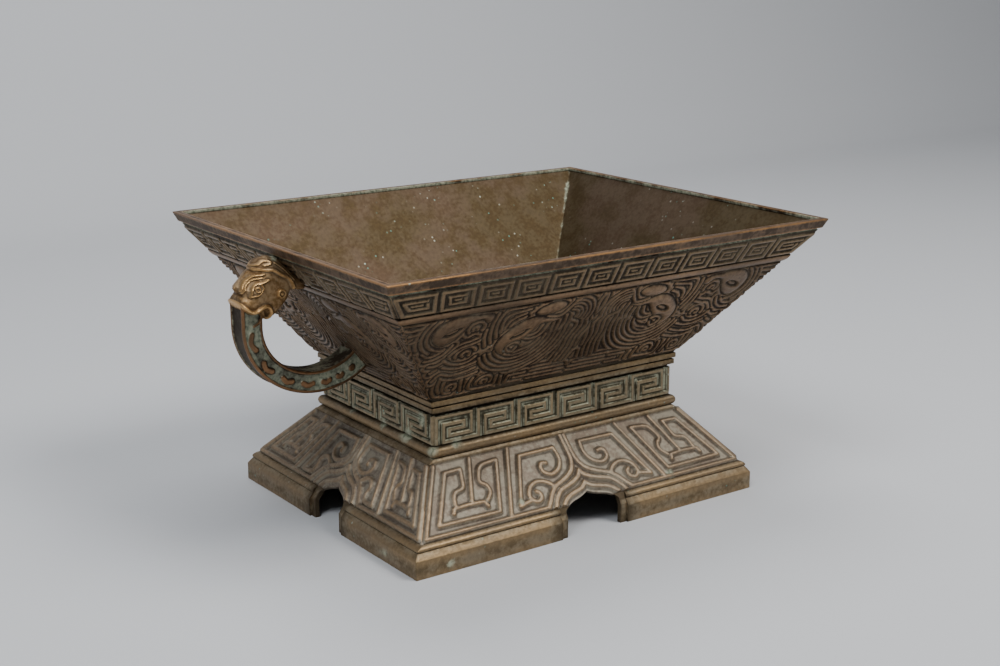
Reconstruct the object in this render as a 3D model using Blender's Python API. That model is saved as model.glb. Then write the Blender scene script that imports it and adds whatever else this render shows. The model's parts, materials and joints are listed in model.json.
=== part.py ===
"""A bronze fu: an oblong food vessel with sloping walls, a flared foot and a beast-head handle at each end.

Everything is in metres. The origin is the middle of the footprint on the ground, X runs along the
long sides, Z is up, and the side towards -Y is the front.
"""

import math

import bmesh
import bpy
import numpy as np
from mathutils import Vector
from mathutils.geometry import delaunay_2d_cdt

for old in list(bpy.data.objects):
    bpy.data.objects.remove(old, do_unlink=True)

# Whole height, and plan sizes, each a whole length or width measured outside
HEIGHT = 0.1665
RIM_LENGTH = 0.3000
RIM_WIDTH = 0.2430
WAIST_LENGTH = 0.1712
WAIST_WIDTH = 0.1218
FOOT_LENGTH = 0.2404
FOOT_WIDTH = 0.1932

# How far one level stands in or out from the size that it is measured from, at the ends and sides
RIM_LEAN = 0.0023
RIM_OVERHANG = 0.0019
BOWL_SPREAD_ENDS = 0.0031
BOWL_SPREAD_SIDES = 0.0015
FOOT_SPREAD_ENDS = 0.0039
FOOT_SPREAD_SIDES = 0.0015
FOOT_INSET_ENDS = 0.0060
FOOT_INSET_SIDES = 0.0044

# Heights of the bands, from the ground up; the bowl's carved wall takes what is left of the height
BASE_BAND = 0.0102
BASE_BEVEL = 0.0037
BASE_ROLL = 0.0036
FOOT_RISE = 0.0299
FOOT_BORDER = 0.0032
FOOT_TORUS = 0.0058
TORUS_GROOVE = 0.0007
WAIST_RISE = 0.0170
WAIST_GROOVE = 0.0020
LOWER_FILLET = 0.0028
FILLET_GROOVE = 0.0012
UPPER_FILLET = 0.0027
BOWL_GROOVE = 0.0020
BOWL_BORDER = 0.0043
RIM_FRET_RISE = 0.0147
RIM_GROOVE = 0.0014
RIM_BAND = 0.0055

# How far each moulding stands out, and how far each groove is sunk
BEVEL_INSET = 0.0026
BASE_ROLL_PROUD = 0.0024
FOOT_BORDER_PROUD = 0.0009
FOOT_TORUS_PROUD = 0.0024
LOWER_FILLET_PROUD = 0.0012
UPPER_FILLET_PROUD = 0.0019
BOWL_BORDER_PROUD = 0.0012
GROOVE_DEPTH = 0.0010

# Walls, the bowl's and the foot's measured level
BOWL_WALL = 0.0035
FOOT_WALL = 0.0042
FLOOR_THICKNESS = 0.0040
FLOOR_COVE = 0.0020
LIP_WIDTH = 0.0044
LIP_DROP = 0.0015
LIP_STEP = 0.0003

# Carving
FRET_HEIGHT = 0.0010
FRET_RIDGE = 0.0010
FRET_PITCH = 0.0290
RIM_FRET_HEIGHT = 0.0009
RIM_FRET_PITCH = 0.0240
RIM_FRAME_INSET = 0.0021
SCROLL_HEIGHT = 0.0010
SCROLL_RIDGE = 0.0009
SCROLL_EDGE = 0.0006
FOOT_RIDGE_HEIGHT = 0.0012
FOOT_RIDGE = 0.0012
CARVING_MARGIN = 0.0004

# The scrolls are drawn in modules: so many to half the wall's width at a share of its height, and up it
SCROLL_MODULES = (124, 69)
SCROLL_MEASURED = 0.84

# The foot's pattern: mouldings over the opening, wider and taller than it, the outermost first,
# then radii, and the foot and head of each upright as shares of half the side's width
ARCH_MOULDINGS = ((0.0123, 0.0186), (0.0067, 0.0143), (0.0024, 0.0026))
STEM_OUT = 0.0020
CORNER_RIB_INSET = 0.0028
FOOT_TOP_INSET = 0.0024
CURL_PLACE = (0.18, 0.66)
CURL_RADII = (0.0088, 0.0050)
VOLUTE_PLACE = (0.30, 0.29)
VOLUTE_RADII = (0.0062, 0.0042)
LONG_UPRIGHTS = ((0.422, 0.363), (0.493, 0.441), (0.547, 0.533))
SHORT_UPRIGHTS = ((0.429, 0.413), (0.518, 0.530), (0.578, 0.590))
PANEL_END = 0.91

# Opening in the middle of each side of the foot
LONG_NOTCH = 0.0380
SHORT_NOTCH = 0.0270
NOTCH_SHOULDER = 0.0150
NOTCH_RISE = 0.0068
NOTCH_REBATE = 0.0045
REBATE_DEPTH = 0.0015
ARCH_HAUNCH = 0.6
CUT_BEYOND = 0.0100

# Handles: the head hangs below the rim and the loop, an arc of an ellipse, below the head
HANDLE_WIDTH = 0.0148
HANDLE_THICKNESS = 0.0118
MOUTH_SWELL = 0.0006
ROOT_SWELL = 0.0026
LOOP_BELOW_HEAD = 0.0265
LOOP_OUT = 0.0063
LOOP_REACH = 0.0393
LOOP_DROP = 0.0356
LOOP_RISE = 0.0135
LOOP_TURN = 142
HANDLE_BORDER = 0.0016
HANDLE_RECESS = 0.0008
DASHES = ((5, 19), (33, 44), (56, 65), (75, 84), (93, 99), (107, 111), (120, 122))
DASH_WIDTH = 0.0028
DASH_HEIGHT = 0.0006
DASH_OUT = 0.0009
HEAD_BELOW_RIM = 0.0165
HEAD_SIZE = 0.0340
HEAD_WIDTH = 0.0226
NOSE_WIDTH = 0.0052
SEAT_GAP = 0.0003
LEANING_CARVING = 1.3

# The beast's head, seen from its side: shares of its size, out from the wall and up
HEAD_OUTLINE = (
    (-0.20, 0.25), (0.20, 0.25), (0.30, 0.30), (0.40, 0.315), (0.54, 0.28), (0.64, 0.22),
    (0.66, 0.13), (0.78, 0.04), (0.86, -0.06), (0.89, -0.15), (0.88, -0.24), (0.935, -0.30),
    (0.935, -0.38), (0.87, -0.50), (0.76, -0.545), (0.66, -0.53), (0.55, -0.65), (0.45, -0.62),
    (0.355, -0.555), (0.157, -0.356), (0.07, -0.22), (-0.20, -0.22),
)
NOSE_OUTLINE = (
    (0.66, 0.15), (0.72, 0.125), (0.83, 0.053), (0.91, -0.03), (0.955, -0.11), (0.95, -0.15),
    (0.87, -0.14), (0.79, -0.02), (0.64, 0.10),
)
HOOD_LINE = ((0.60, 0.125), (0.55, 0.135), (0.40, 0.105), (0.24, 0.005), (0.09, -0.15))
LIP_LINE = (
    (0.893, -0.335), (0.855, -0.435), (0.76, -0.50), (0.66, -0.485), (0.55, -0.48),
    (0.505, -0.55), (0.55, -0.605),
)
BROW_LINE = ((0.58, 0.09), (0.70, 0.05), (0.77, -0.02), (0.80, -0.12))
EYE_PLACE = (0.70, -0.13)
EYE_TILT = -37
EYE_SIZE = (0.28, 0.16)
PUPIL = 0.085
EAR_PLACE = (0.30, -0.24)
EAR_SIZE = 0.15
HEAD_RIDGE = 0.033
HEAD_RELIEF = 0.026
ROUND_FROM = (0.45, -0.30)
ROUND_TO = (0.95, 0.32)
ROUNDING = 0.93


def material(name, colour, roughness, metallic):
    """A Principled material with the piece's own colour."""
    made = bpy.data.materials.new(name)
    made.use_nodes = True
    shader = made.node_tree.nodes["Principled BSDF"]
    shader.inputs["Base Color"].default_value = (*colour, 1.0)
    shader.inputs["Roughness"].default_value = roughness
    shader.inputs["Metallic"].default_value = metallic
    made.diffuse_color = (*colour, 1.0)
    return made


def solid(name, points, faces, finish=None):
    """A mesh object from points and faces, welded and with its faces turned outwards."""
    mesh = bpy.data.meshes.new(name)
    mesh.from_pydata([tuple(point) for point in points], [], faces)
    work = bmesh.new()
    work.from_mesh(mesh)
    bmesh.ops.remove_doubles(work, verts=work.verts, dist=1e-6)
    bmesh.ops.recalc_face_normals(work, faces=work.faces)
    work.to_mesh(mesh)
    work.free()
    made = bpy.data.objects.new(name, mesh)
    bpy.context.scene.collection.objects.link(made)
    if finish:
        mesh.materials.append(finish)
    return made


def helper(name, points, faces):
    """A solid that only cuts a piece or is added to it, so it isn't rendered."""
    made = solid(name, points, faces)
    made.hide_render = True
    made.display_type = "WIRE"
    return made


def combine(piece, other, operation):
    """Add or cut another solid with an exact Boolean."""
    step = piece.modifiers.new(f"{operation} {other.name}", "BOOLEAN")
    step.operation = operation
    step.solver = "EXACT"
    step.use_self = operation == "UNION"
    step.object = other


def prism(outline, low, high):
    """Points and faces of an outline in the XZ plane, drawn out along Y from low to high."""
    count = len(outline)
    points = [(x, y, z) for y in (low, high) for x, z in outline]
    sides = [(i, (i + 1) % count, count + (i + 1) % count, count + i) for i in range(count)]
    return points, [tuple(range(count)), tuple(range(2 * count - 1, count - 1, -1)), *sides]


def turned(points):
    """The same points with X and Y exchanged, for the sides that face along X."""
    return [(y, x, z) for x, y, z in points]


def joined(shapes):
    """Points and faces of several separate shapes as one list of each."""
    points, faces = [], []
    for shape_points, shape_faces in shapes:
        first = len(points)
        points += shape_points
        faces += [tuple(first + index for index in face) for face in shape_faces]
    return points, faces


# Lines and outlines on a flat face
def bends(points, closed):
    """At each point of a line, the sideways step that moves both of its edges out by one unit."""
    points = np.array(points, float)
    ahead = np.roll(points, -1, axis=0) - points
    ahead /= np.maximum(np.linalg.norm(ahead, axis=1), 1e-9)[:, None]
    behind = np.roll(ahead, 1, axis=0)
    if not closed:
        ahead[-1] = behind[-1]
        behind[0] = ahead[0]
    sides = [np.stack([-run[:, 1], run[:, 0]], axis=1) for run in (ahead, behind)]
    mitre = sides[0] + sides[1]
    return mitre / np.maximum((mitre**2).sum(axis=1) / 2, 0.35)[:, None], ahead, behind


def inset(outline, distance):
    """A closed outline, drawn anticlockwise, with each edge moved in by a distance."""
    return np.array(outline, float) + bends(outline, True)[0] * distance


def ribbon(points, half_width):
    """The closed outline of a strip along an open line, with square ends."""
    line = np.array(points, float)
    step, ahead, behind = bends(points, False)
    line[0] -= ahead[0] * half_width
    line[-1] += behind[-1] * half_width
    return np.concatenate([line - step * half_width, (line + step * half_width)[::-1]])


def arc(centre, radius, start, end, steps, end_radius=None):
    """Points along an arc, in degrees anticlockwise from the first axis, or along a spiral."""
    turn = np.radians(np.linspace(start, end, steps + 1))
    reach = np.linspace(radius, radius if end_radius is None else end_radius, steps + 1)
    return np.stack([centre[0] + reach * np.cos(turn), centre[1] + reach * np.sin(turn)], axis=1)


def ellipse(centre, length, width, tilt, steps):
    """The outline of a tilted ellipse, anticlockwise."""
    turn = np.arange(steps) * 2 * math.pi / steps
    along, across = length / 2 * np.cos(turn), width / 2 * np.sin(turn)
    lean = math.radians(tilt)
    return np.stack(
        [
            centre[0] + along * math.cos(lean) - across * math.sin(lean),
            centre[1] + along * math.sin(lean) + across * math.cos(lean),
        ],
        axis=1,
    )


def ogee(half_span, base, crown, steps, first=0.0):
    """Half of a bracket-shaped arch from its crown outwards: a flat haunch with a cusp over it."""
    share = np.linspace(first, 1.0, steps + 1)
    rise = ARCH_HAUNCH * (1 - share**5) + (1 - ARCH_HAUNCH) * (1 - share) ** 3
    return np.stack([half_span * share, base + (crown - base) * rise], axis=1)


def kept_above(line, floor):
    """A falling line, cut off where it goes below a height."""
    line = np.array(line, float)
    kept = line[line[:, 1] > floor]
    if len(kept) in (0, len(line)):
        return line
    start, end = kept[-1], line[len(kept)]
    share = (start[1] - floor) / (start[1] - end[1])
    return np.concatenate([kept, [start + (end - start) * share]])


# Carving: ridges are a line, its half width and its height; contours are a line, a height and closed
def mound(outline, height, edge):
    """A flat-topped swelling: its outline on the ground and the same outline inset at full height."""
    return [(outline, 0.0, True), (inset(outline, edge), height, True)]


def lens(centre, length, width, tilt, height):
    """A sunken eye in the top of a mound, with a raised middle."""
    socket = ellipse(centre, length, width, tilt, 4)
    return [(socket, height * 0.4, True), (np.array([centre]), height, False)]


def ridge_heights(points, ridges):
    """How high the ridges stand at each point: a straight slope down from each crest line."""
    heights = np.zeros(len(points))
    for line, half_width, height in ridges:
        for start, end in zip(line[:-1], line[1:]):
            run = end - start
            share = np.clip(((points - start) @ run) / max(run @ run, 1e-12), 0, 1)
            away = np.linalg.norm(points - start - share[:, None] * run, axis=1)
            heights = np.maximum(heights, height * (1 - away / half_width))
    return heights


def mirrored(ridges, contours):
    """The ridges and contours of one half of a side, and the same on its other half."""
    flip = np.array([-1.0, 1.0])
    both_ridges = ridges + [(line * flip, half, height) for line, half, height in ridges]
    flipped = [((line * flip)[::-1], height, closed) for line, height, closed in contours]
    return both_ridges, contours + flipped


def relief(border, ridges, contours):
    """The points, heights and triangles of a flat outline that follow each ridge and contour."""
    lines = [(border, 0.0, True), *contours]
    for line, half_width, height in ridges:
        lines += [(line, height, False), (ribbon(line, half_width), 0.0, True)]
    points, own, edges = [], [], []
    for line, height, closed in lines:
        first, count = len(points), len(line)
        points += [Vector(point / np.ptp(border)) for point in line]
        own += [height] * count
        edges += [(first + i, first + i + 1) for i in range(count - 1)]
        if closed:
            edges.append((first + count - 1, first))
    found = delaunay_2d_cdt(points, edges, [], 1, 1e-6)
    flat = np.array([tuple(point) for point in found[0]]) * np.ptp(border)
    heights = np.array([max([own[i] for i in sources], default=0.0) for sources in found[3]])
    return flat, np.maximum(heights, ridge_heights(flat, ridges)), found[2]


class Face:
    """One flat side of the vessel between two levels, seen from outside: u to the right, v up it."""

    def __init__(self, low, high, side):
        corners = [self.corner(level, side + step) for level in (low, high) for step in (0, 1)]
        self.corners = corners
        self.origin = (corners[0] + corners[1]) / 2
        top = (corners[2] + corners[3]) / 2
        self.height = np.linalg.norm(top - self.origin)
        self.low_half = np.linalg.norm(corners[1] - corners[0]) / 2
        self.high_half = np.linalg.norm(corners[3] - corners[2]) / 2
        self.along = (corners[1] - corners[0]) / (2 * self.low_half)
        self.up = (top - self.origin) / self.height
        self.out = np.cross(self.along, self.up)

    @staticmethod
    def corner(level, number):
        """A corner of a level, counted anticlockwise from the front left one."""
        half_length, half_width, height = level
        across = (-1, 1, 1, -1)[number % 4]
        back = (-1, -1, 1, 1)[number % 4]
        return np.array([across * half_length, back * half_width, height])

    def half(self, v):
        """Half the width of the side at a distance up it."""
        return self.low_half + (self.high_half - self.low_half) * v / self.height

    def place(self, shares):
        """Points given as shares of the half width at their height, and of the height."""
        shares = np.array(shares, float)
        v = shares[:, 1] * self.height
        return np.stack([shares[:, 0] * self.half(v), v], axis=1)

    def lift(self, points, heights):
        """Points of the side in space, each raised off it by its height."""
        flat = self.origin + np.outer(points[:, 0], self.along) + np.outer(points[:, 1], self.up)
        return flat + np.outer(heights, self.out)

    def carve(self, ridges, contours):
        """Points and triangles over the whole side that follow each ridge and contour."""
        border = np.array(
            [
                (-self.low_half, 0), (self.low_half, 0),
                (self.high_half, self.height), (-self.high_half, self.height),
            ]
        )
        flat, heights, triangles = relief(border, ridges, contours)
        return self.lift(flat, heights), triangles


# Patterns
def waist_fret(face, side):
    """A running fret: each unit winds in to its middle and out again into the next one."""
    units = max(round(2 * face.low_half / FRET_PITCH), 1)
    left = -face.low_half + CARVING_MARGIN + FRET_RIDGE
    pitch = (-left * 2) / units
    low, high = CARVING_MARGIN + FRET_RIDGE, face.height - CARVING_MARGIN - FRET_RIDGE
    levels = np.linspace(low, high, 5)
    turns = (
        (0.00, 0), (0.00, 4), (0.83, 4), (0.83, 1), (0.31, 1), (0.31, 2), (0.66, 2), (0.66, 3),
        (0.16, 3), (0.16, 0),
    )
    line = [(left + (unit + x) * pitch, levels[row]) for unit in range(units) for x, row in turns]
    line.append((left + units * pitch, low))
    return [(np.array(line), FRET_RIDGE, FRET_HEIGHT)], []


def rim_fret(face, side):
    """A row of nested frames, one to each pitch; the two end ones lean with the corners."""
    units = max(round((face.low_half + face.high_half) / RIM_FRET_PITCH), 1)
    reach = face.low_half + face.high_half - 2 * CARVING_MARGIN
    inner = [-reach / 2 + reach * unit / units for unit in range(1, units)]
    low, high = CARVING_MARGIN, face.height - CARVING_MARGIN
    low_stops = [-face.half(low) + CARVING_MARGIN, *inner, face.half(low) - CARVING_MARGIN]
    high_stops = [-face.half(high) + CARVING_MARGIN, *inner, face.half(high) - CARVING_MARGIN]
    contours = []
    for unit in range(units):
        cell = np.array(
            [
                (low_stops[unit], low), (low_stops[unit + 1], low),
                (high_stops[unit + 1], high), (high_stops[unit], high),
            ]
        )
        contours.append((cell, 0.0, True))
        contours.append((inset(cell, RIM_FRAME_INSET), RIM_FRET_HEIGHT, True))
        contours.append((inset(cell, 2 * RIM_FRAME_INSET), 0.0, True))
        heart = inset(cell, 3 * RIM_FRAME_INSET)
        ends = np.array([heart[[0, 3]].mean(axis=0), heart[[1, 2]].mean(axis=0)])
        contours.append((ends, RIM_FRET_HEIGHT, False))
    return [], contours


def scrolls(face, side):
    """Interlaced dragons: two eyed bodies, a cloud boss, plumes and rings of ridges on each half."""
    shown = side == 0
    measured = np.array([face.half(SCROLL_MEASURED * face.height), face.height])
    scale = measured / SCROLL_MODULES

    def drawn(points):
        return np.array(points, float) * scale

    inner_body = drawn(
        [
            (31, 47), (35, 42), (44, 40), (49, 36), (45, 32), (48, 28), (54, 28.5), (60, 35),
            (60, 44), (53, 52), (44, 56), (35, 53),
        ]
    )
    outer_body = drawn(
        [
            (71, 61), (74.5, 57.5), (78, 62), (84, 62), (88.5, 57), (91, 51), (97, 48),
            (104, 50.5), (107.5, 57), (104, 65), (95, 68), (84, 67.5), (74, 66.5),
        ]
    )
    boss = ellipse(drawn([(34.5, 62.7)])[0], 20 * scale[0], 9.5 * scale[1], -8, 8 if shown else 6)
    contours = mound(inner_body, SCROLL_HEIGHT, SCROLL_EDGE)
    contours += mound(outer_body, SCROLL_HEIGHT, SCROLL_EDGE)
    contours += mound(boss, SCROLL_HEIGHT, SCROLL_EDGE)
    contours += lens(drawn([(50, 46.5)])[0], 11 * scale[0], 5 * scale[1], -28, SCROLL_HEIGHT)
    contours += lens(drawn([(96, 58)])[0], 11 * scale[0], 5 * scale[1], -28, SCROLL_HEIGHT)
    lines = [arc((46, 41), 20, -15, -190, 6)]
    if shown:
        lines += [
            arc((46, 41), 24, -15, -185, 6),
            arc((46, 41), 28, -35, -180, 5),
            [(3, 52), (6, 63), (18, 66)],
            [(9, 50), (12, 60), (18, 61.5)],
            [(6, 46), (3.5, 34), (9, 15)],
            [(13, 45), (10, 32), (18, 12)],
            [(48, 65.5), (65, 65.5), (65, 50)],
            [(89, 30), (80, 27), (72, 27)],
            arc((97, 58), 13.5, 36, -70, 3),
        ]
    ridges = [(drawn(line), SCROLL_RIDGE, SCROLL_HEIGHT) for line in lines]
    return mirrored(ridges, contours)


def foot_pattern(face, side):
    """Frames and hooks on each half of the side, and arched mouldings over the opening."""
    long_side = side % 2 == 0
    shown = side in (0, 3)
    notch = (LONG_NOTCH if long_side else SHORT_NOTCH) / 2
    slope = face.height / FOOT_RISE
    base = (NOTCH_SHOULDER - BASE_BAND - BASE_BEVEL - BASE_ROLL) * slope
    crown = base + NOTCH_RISE * slope
    inner_frame, divider, outer_frame = LONG_UPRIGHTS if long_side else SHORT_UPRIGHTS
    edge = CARVING_MARGIN + FOOT_RIDGE
    steps = 5 if shown else 4

    # The inner moulding runs up the middle, over the arch, along the base and up the corner
    wider, taller = ARCH_MOULDINGS[0]
    arch = ogee(notch + wider, edge, crown + taller, steps, 0.07)
    top = face.height - FOOT_TOP_INSET
    corner = [(face.half(v) - CORNER_RIB_INSET, v) for v in (edge, top)]
    lines = [[(STEM_OUT, top), *arch, *corner]]
    # The next follows the arch alone, and a border follows the edge of the opening
    for wider, taller in ARCH_MOULDINGS[1:]:
        line = ogee(notch + wider, 0.0, crown + taller, steps, 0.06)
        lines.append(kept_above(line, CARVING_MARGIN + 2 * FOOT_RIDGE))

    def panel(local):
        """Shares of the outer panel, from its inner side to the corner, made shares of the side."""
        local = np.array(local, float)
        start = outer_frame[0] + (outer_frame[1] - outer_frame[0]) * local[:, 1]
        across = start + (PANEL_END - start) * local[:, 0]
        return face.place(np.stack([across, local[:, 1]], axis=1))

    lines.append(face.place([(divider[1], 0.94), (divider[0], 0.05)]))
    lines.append(panel([(0.52, 0.94), (0.48, 0.42)]))
    hooks = [
        (0.27, 0.37), (0.17, 0.42), (0.17, 0.54), (0.32, 0.65), (0.33, 0.79), (0.22, 0.86),
    ]
    frame = [(0.0, 0.89), (0.0, 0.17), (1.0, 0.17), (1.0, 0.87), (0.66, 0.87)]
    tail = [(0.63, 0.62), (0.74, 0.55), (0.74, 0.42)]
    lines.append(panel(hooks + frame + tail if shown else frame[:-1]))
    lines.append(panel([(0.20, 0.28), (0.30, 0.36), (0.76, 0.36), (0.82, 0.28)]))

    curl = face.place([CURL_PLACE])[0]
    bar = face.place([(inner_frame[0], 0.17), (inner_frame[1], 0.87)])
    hook = arc(curl, CURL_RADII[0], 120, 345, steps, CURL_RADII[1])
    hook[0] = (hook[0][0], bar[1][1])
    lines.append([*bar, *hook])
    if shown:
        volute = face.place([VOLUTE_PLACE])[0]
        lines.append(arc(volute, VOLUTE_RADII[0], 140, -110, steps, VOLUTE_RADII[1]))
    ridges = [(np.array(line), FOOT_RIDGE, FOOT_RIDGE_HEIGHT) for line in lines]
    return mirrored(ridges, [])


# The vessel's levels
def level(height, length, width, proud=0.0):
    """Half a level's length, half its width and its height, moved out by proud."""
    return (length / 2 + proud, width / 2 + proud, height)


def between(low, high, share, proud=0.0):
    """A level part of the way from one to another, or past them, moved out by proud."""
    half_length, half_width, height = (a + (b - a) * share for a, b in zip(low, high))
    return (half_length + proud, half_width + proud, height)


def roll(low, high, proud, steps=4):
    """A half-round moulding between two levels, with the two levels."""
    turns = [math.pi * step / steps for step in range(1, steps)]
    middle = [between(low, high, (1 - math.cos(t)) / 2, proud * math.sin(t)) for t in turns]
    return [low, *middle, high]


def fillet(height, rise, proud):
    """A square moulding on the waist."""
    return [level(z, WAIST_LENGTH, WAIST_WIDTH, proud) for z in (height, height + rise)]


Z_BEVEL = BASE_BAND + BASE_BEVEL
Z_FOOT = Z_BEVEL + BASE_ROLL
Z_FOOT_TOP = Z_FOOT + FOOT_RISE
Z_TORUS = Z_FOOT_TOP + FOOT_BORDER
Z_TORUS_TOP = Z_TORUS + FOOT_TORUS
Z_WAIST = Z_TORUS_TOP + TORUS_GROOVE
Z_WAIST_TOP = Z_WAIST + WAIST_RISE
Z_LOWER_FILLET = Z_WAIST_TOP + WAIST_GROOVE
Z_UPPER_FILLET = Z_LOWER_FILLET + LOWER_FILLET + FILLET_GROOVE
Z_FILLETS_TOP = Z_UPPER_FILLET + UPPER_FILLET
Z_BOWL = Z_FILLETS_TOP + BOWL_GROOVE
Z_RIM_BAND = HEIGHT - RIM_BAND
Z_RIM_GROOVE = Z_RIM_BAND - RIM_GROOVE
Z_RIM_FRET = Z_RIM_GROOVE - RIM_FRET_RISE
Z_BOWL_BORDER = Z_RIM_FRET - BOWL_BORDER
HEAD_HEIGHT = HEIGHT - HEAD_BELOW_RIM
LOOP_HEIGHT = HEAD_HEIGHT - LOOP_BELOW_HEAD

FOOT_LOW = (
    FOOT_LENGTH / 2 - FOOT_INSET_ENDS,
    FOOT_WIDTH / 2 - FOOT_INSET_SIDES,
    Z_FOOT,
)
FOOT_HIGH = (
    WAIST_LENGTH / 2 + FOOT_SPREAD_ENDS,
    WAIST_WIDTH / 2 + FOOT_SPREAD_SIDES,
    Z_FOOT_TOP,
)
BOWL_LOW = (
    WAIST_LENGTH / 2 + BOWL_SPREAD_ENDS,
    WAIST_WIDTH / 2 + BOWL_SPREAD_SIDES,
    Z_BOWL,
)
BOWL_HIGH = level(Z_RIM_GROOVE, RIM_LENGTH, RIM_WIDTH, -RIM_LEAN - RIM_OVERHANG)


def on_bowl(height, proud=0.0):
    """The bowl's plain sloping wall at a height, moved out by proud."""
    return between(BOWL_LOW, BOWL_HIGH, (height - Z_BOWL) / (Z_RIM_GROOVE - Z_BOWL), proud)


def outer_levels():
    """The outside from the ground up: each level, and the carving of the side above it if any."""
    waist = (WAIST_LENGTH, WAIST_WIDTH)
    groove_low = level(Z_BEVEL, FOOT_LENGTH, FOOT_WIDTH, -BEVEL_INSET - GROOVE_DEPTH)
    groove_high = between(FOOT_LOW, FOOT_LOW, 0, -GROOVE_DEPTH)
    torus_low = level(Z_TORUS, *waist)
    ground = -FRET_HEIGHT
    fret_groove = (Z_WAIST_TOP + Z_LOWER_FILLET) / 2
    fillet_groove = Z_UPPER_FILLET - FILLET_GROOVE / 2
    bowl_groove = Z_FILLETS_TOP + GROOVE_DEPTH / 2
    plain = [
        level(0, FOOT_LENGTH, FOOT_WIDTH),
        level(BASE_BAND, FOOT_LENGTH, FOOT_WIDTH),
        level(Z_BEVEL, FOOT_LENGTH, FOOT_WIDTH, -BEVEL_INSET),
        *roll(groove_low, groove_high, BASE_ROLL_PROUD),
    ]
    stack = [(one, None) for one in plain]
    stack.append((FOOT_LOW, foot_pattern))
    plain = [
        *roll(FOOT_HIGH, torus_low, FOOT_BORDER_PROUD, 3),
        *roll(torus_low, level(Z_TORUS_TOP, *waist), FOOT_TORUS_PROUD)[1:],
        level(Z_TORUS_TOP + TORUS_GROOVE / 2, *waist, ground - GROOVE_DEPTH),
    ]
    stack += [(one, None) for one in plain]
    stack.append((level(Z_WAIST, *waist, ground), waist_fret))
    plain = [
        level(Z_WAIST_TOP, *waist, ground),
        level(fret_groove, *waist, ground - GROOVE_DEPTH),
        *fillet(Z_LOWER_FILLET, LOWER_FILLET, LOWER_FILLET_PROUD),
        level(fillet_groove, *waist),
        *fillet(Z_UPPER_FILLET, UPPER_FILLET, UPPER_FILLET_PROUD),
        level(bowl_groove, *waist, UPPER_FILLET_PROUD - GROOVE_DEPTH),
    ]
    stack += [(one, None) for one in plain]
    stack.append((BOWL_LOW, scrolls))
    border = roll(on_bowl(Z_BOWL_BORDER), on_bowl(Z_RIM_FRET), BOWL_BORDER_PROUD)
    stack += [(one, None) for one in border[:-1]]
    stack.append((border[-1], rim_fret))
    plain = [
        BOWL_HIGH,
        level((Z_RIM_GROOVE + Z_RIM_BAND) / 2, RIM_LENGTH, RIM_WIDTH, -RIM_LEAN - RIM_OVERHANG),
        level(Z_RIM_BAND, RIM_LENGTH, RIM_WIDTH, -RIM_LEAN),
        level(HEIGHT, RIM_LENGTH, RIM_WIDTH),
    ]
    return stack + [(one, None) for one in plain]


def inner_levels():
    """The inside of the bowl from the rim down to its floor."""
    lip_foot = HEIGHT - LIP_DROP
    floor = Z_LOWER_FILLET + FLOOR_THICKNESS
    return [
        level(HEIGHT, RIM_LENGTH, RIM_WIDTH, -LIP_WIDTH),
        level(lip_foot, RIM_LENGTH, RIM_WIDTH, -LIP_WIDTH),
        on_bowl(lip_foot - LIP_STEP, -BOWL_WALL),
        on_bowl(floor + FLOOR_COVE, -BOWL_WALL),
        (*on_bowl(floor, -BOWL_WALL - FLOOR_COVE)[:2], floor),
    ]


def hollow_levels():
    """The hollow of the foot from under the floor down to the ground."""
    waist_wall = -FOOT_WALL
    return [
        level(Z_LOWER_FILLET, WAIST_LENGTH, WAIST_WIDTH, waist_wall),
        level(Z_WAIST, WAIST_LENGTH, WAIST_WIDTH, waist_wall),
        between(FOOT_HIGH, FOOT_LOW, 0, waist_wall),
        between(FOOT_HIGH, FOOT_LOW, 1, waist_wall),
        level(BASE_BAND, FOOT_LENGTH, FOOT_WIDTH, waist_wall),
        level(0, FOOT_LENGTH, FOOT_WIDTH, waist_wall),
    ]


def vessel_shell():
    """Points and faces of the whole casting before its foot is opened."""
    chain = [(one, None) for one in hollow_levels()] + outer_levels()
    chain += [(one, None) for one in inner_levels()]
    shapes = []
    for (low, pattern), (high, _) in zip(chain[:-1], chain[1:]):
        for side in range(4):
            face = Face(low, high, side) if pattern else None
            corners = [Face.corner(one, side + step) for one, step in ((low, 0), (low, 1))]
            corners += [Face.corner(one, side + step) for one, step in ((high, 1), (high, 0))]
            if face:
                points, triangles = face.carve(*pattern(face, side))
                shapes.append((list(points), [tuple(one) for one in triangles]))
            else:
                shapes.append((corners, [(0, 1, 2, 3)]))
    for end in (chain[0][0], chain[-1][0]):
        shapes.append(([Face.corner(end, number) for number in range(4)], [(0, 1, 2, 3)]))
    return joined(shapes)


def notch_outline(half_span, drop):
    """The opening in one side, from below the ground to the cusp of its arch."""
    arch = ogee(half_span, NOTCH_SHOULDER, NOTCH_SHOULDER + NOTCH_RISE, 5)
    left = [(-x, z) for x, z in arch[:0:-1]]
    return [(-half_span, -drop), *left, *arch.tolist(), (half_span, -drop)]


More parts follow.
